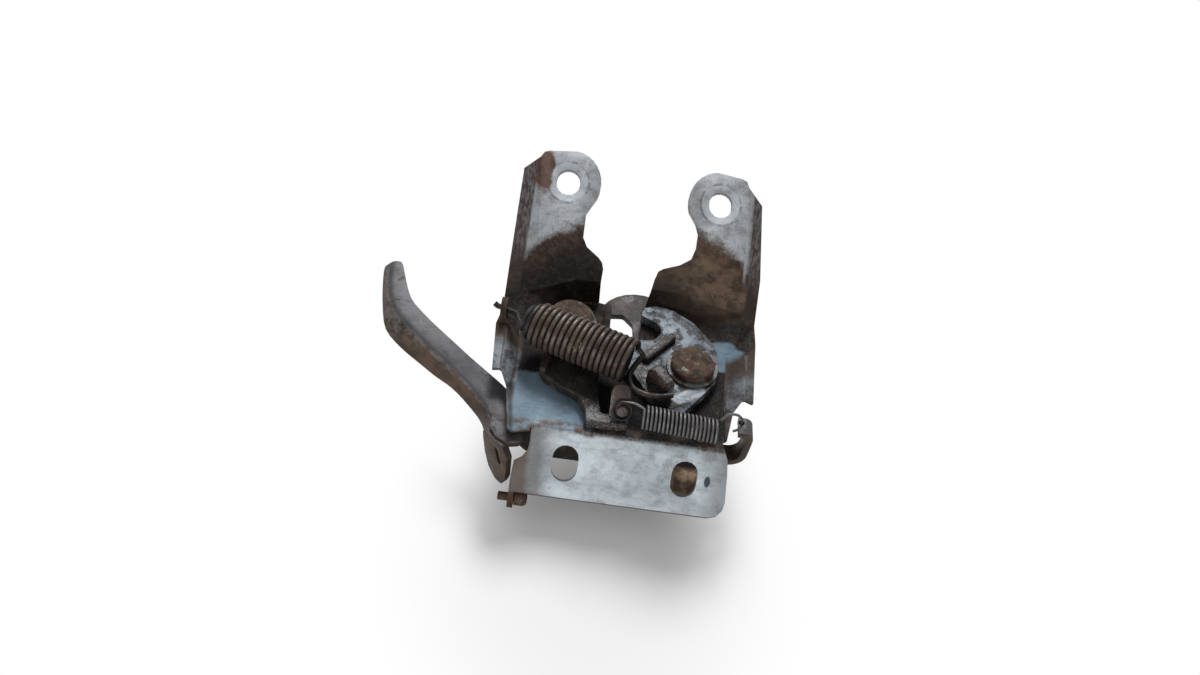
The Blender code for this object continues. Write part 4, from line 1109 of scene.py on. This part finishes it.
loop = []
for k in range(LOOP_STEPS + 1):
    angle = math.radians(90 + 312 * (1 - k / LOOP_STEPS))
    loop.append(on_finger(1.0 + LOOP_RADIUS * math.cos(angle), 4.2 + LOOP_RADIUS * math.sin(angle),
                          1.95 + 0.0275 * k))
lead = through([tuple(in_drawing(loop[-1])), (2.8, 8.8, 10.9), (5.0, 7.7, 11.3)], 5)
turns = coil(RETURN_FROM, RETURN_TO, RETURN_RADIUS, RETURN_PITCH, RETURN_TURNS, 1.0, -1, math.pi / 2)
last = in_drawing(turns[-1])
tail = through([(last.x + 0.6, last.y + 0.3, last.z + 1.6), (36.2, 11.0, 9.2), (39.4, 11.8, 8.6),
                (41.2, 11.8, 6.8), (41.6, 11.8, 4.6), (41.6, 11.8, 2.4), (40.8, 11.6, 0.9),
                (39.4, 11.2, 0.4)], 5)
half = len(turns) // 2
left_half = wire("return_spring_left", [*loop[:-1], *lead, *turns[:half + 1]], RETURN_WIRE, RETURN_FINISH,
                 "return_spring")
right_half = wire("return_spring_right", [*turns[half:], *tail], RETURN_WIRE, RETURN_FINISH)
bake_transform(left_half)
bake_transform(right_half)

# %% [markdown]
# ## Floor, light and background
# The photograph has a white ground with a soft shadow under the latch. The floor is a plain pale plane, and
# far from the latch it turns into plain white, which hides its edge. Only the camera and shiny surfaces see
# that white, so the soft light that the floor throws back on the latch stays the same.

# %% The floor
FLOOR_GAP = 0.004
SHADOW_MIDDLE = (-6.0, -20.0)
bpy.ops.object.select_all(action="DESELECT")
bpy.ops.mesh.primitive_plane_add(size=6.0, location=(0, 0, cad_low.z - FLOOR_GAP))
floor = bpy.context.object
floor.name = "floor"
bpy.ops.object.transform_apply(location=True)
ground = bpy.data.materials.new("floor_white")
ground.use_nodes = True
r = Recipe(ground.node_tree)
shader = ground.node_tree.nodes["Principled BSDF"]
shader.inputs["Base Color"].default_value = (0.88, 0.88, 0.88, 1.0)
shader.inputs["Roughness"].default_value = 0.9
shader.inputs["Specular IOR Level"].default_value = 0.1
place, x, y, z = r.millimetres()
away = r.length(r.math("ADD", y, -SHADOW_MIDDLE[1]), r.math("ADD", x, -SHADOW_MIDDLE[0]), 1.3)
glow = r.add("ShaderNodeEmission", {"Color": (1.0, 1.0, 1.0), "Strength": 1.0}).outputs[0]
rays = r.add("ShaderNodeLightPath", {}).outputs
seen = r.either(r.either(rays["Is Camera Ray"], rays["Is Glossy Ray"]), rays["Is Transmission Ray"])
far_and_seen = r.both(seen, r.rise(away, 24.0, 92.0))
blend = r.add("ShaderNodeMixShader", {0: far_and_seen, 1: shader.outputs[0], 2: glow})
output = next(n for n in ground.node_tree.nodes if n.type == "OUTPUT_MATERIAL")
r.links.new(blend.outputs[0], output.inputs["Surface"])
floor.data.materials.append(ground)
print("floor at", round(cad_low.z - FLOOR_GAP, 4))

# %% [markdown]
# A wide soft lamp behind and above throws the shadow forward, a second one in front lifts the flange, and
# a weak white world fills the rest. The camera sees that world at full strength, as a white background.

# %% The world and the lamps
world = bpy.data.worlds.new("studio")
bpy.context.scene.world = world
world.use_nodes = True
r = Recipe(world.node_tree)
background = world.node_tree.nodes["Background"]
background.inputs["Color"].default_value = (1.0, 1.0, 1.0, 1.0)
rays = r.add("ShaderNodeLightPath", {}).outputs
r.links.new(r.between(rays["Is Camera Ray"], 0.31, 1.0), background.inputs["Strength"])


def lamp(name, place, size, power):
    """A round soft lamp that points at the latch."""
    light = bpy.data.lights.new(name, "AREA")
    light.shape = "DISK"
    light.size = size
    light.energy = power
    holder = bpy.data.objects.new(name, light)
    bpy.context.scene.collection.objects.link(holder)
    holder.location = place
    holder.rotation_euler = (Vector((0, 0.04, 0)) - Vector(place)).to_track_quat("-Z", "Y").to_euler()
    print("lamp:", name, power, "W")


lamp("key", (-0.02, 0.62, 0.66), 0.34, 7.4)
lamp("front", (-0.28, -0.88, 0.26), 0.35, 3.6)
bpy.context.scene.view_settings.view_transform = "Standard"

# %% [markdown]
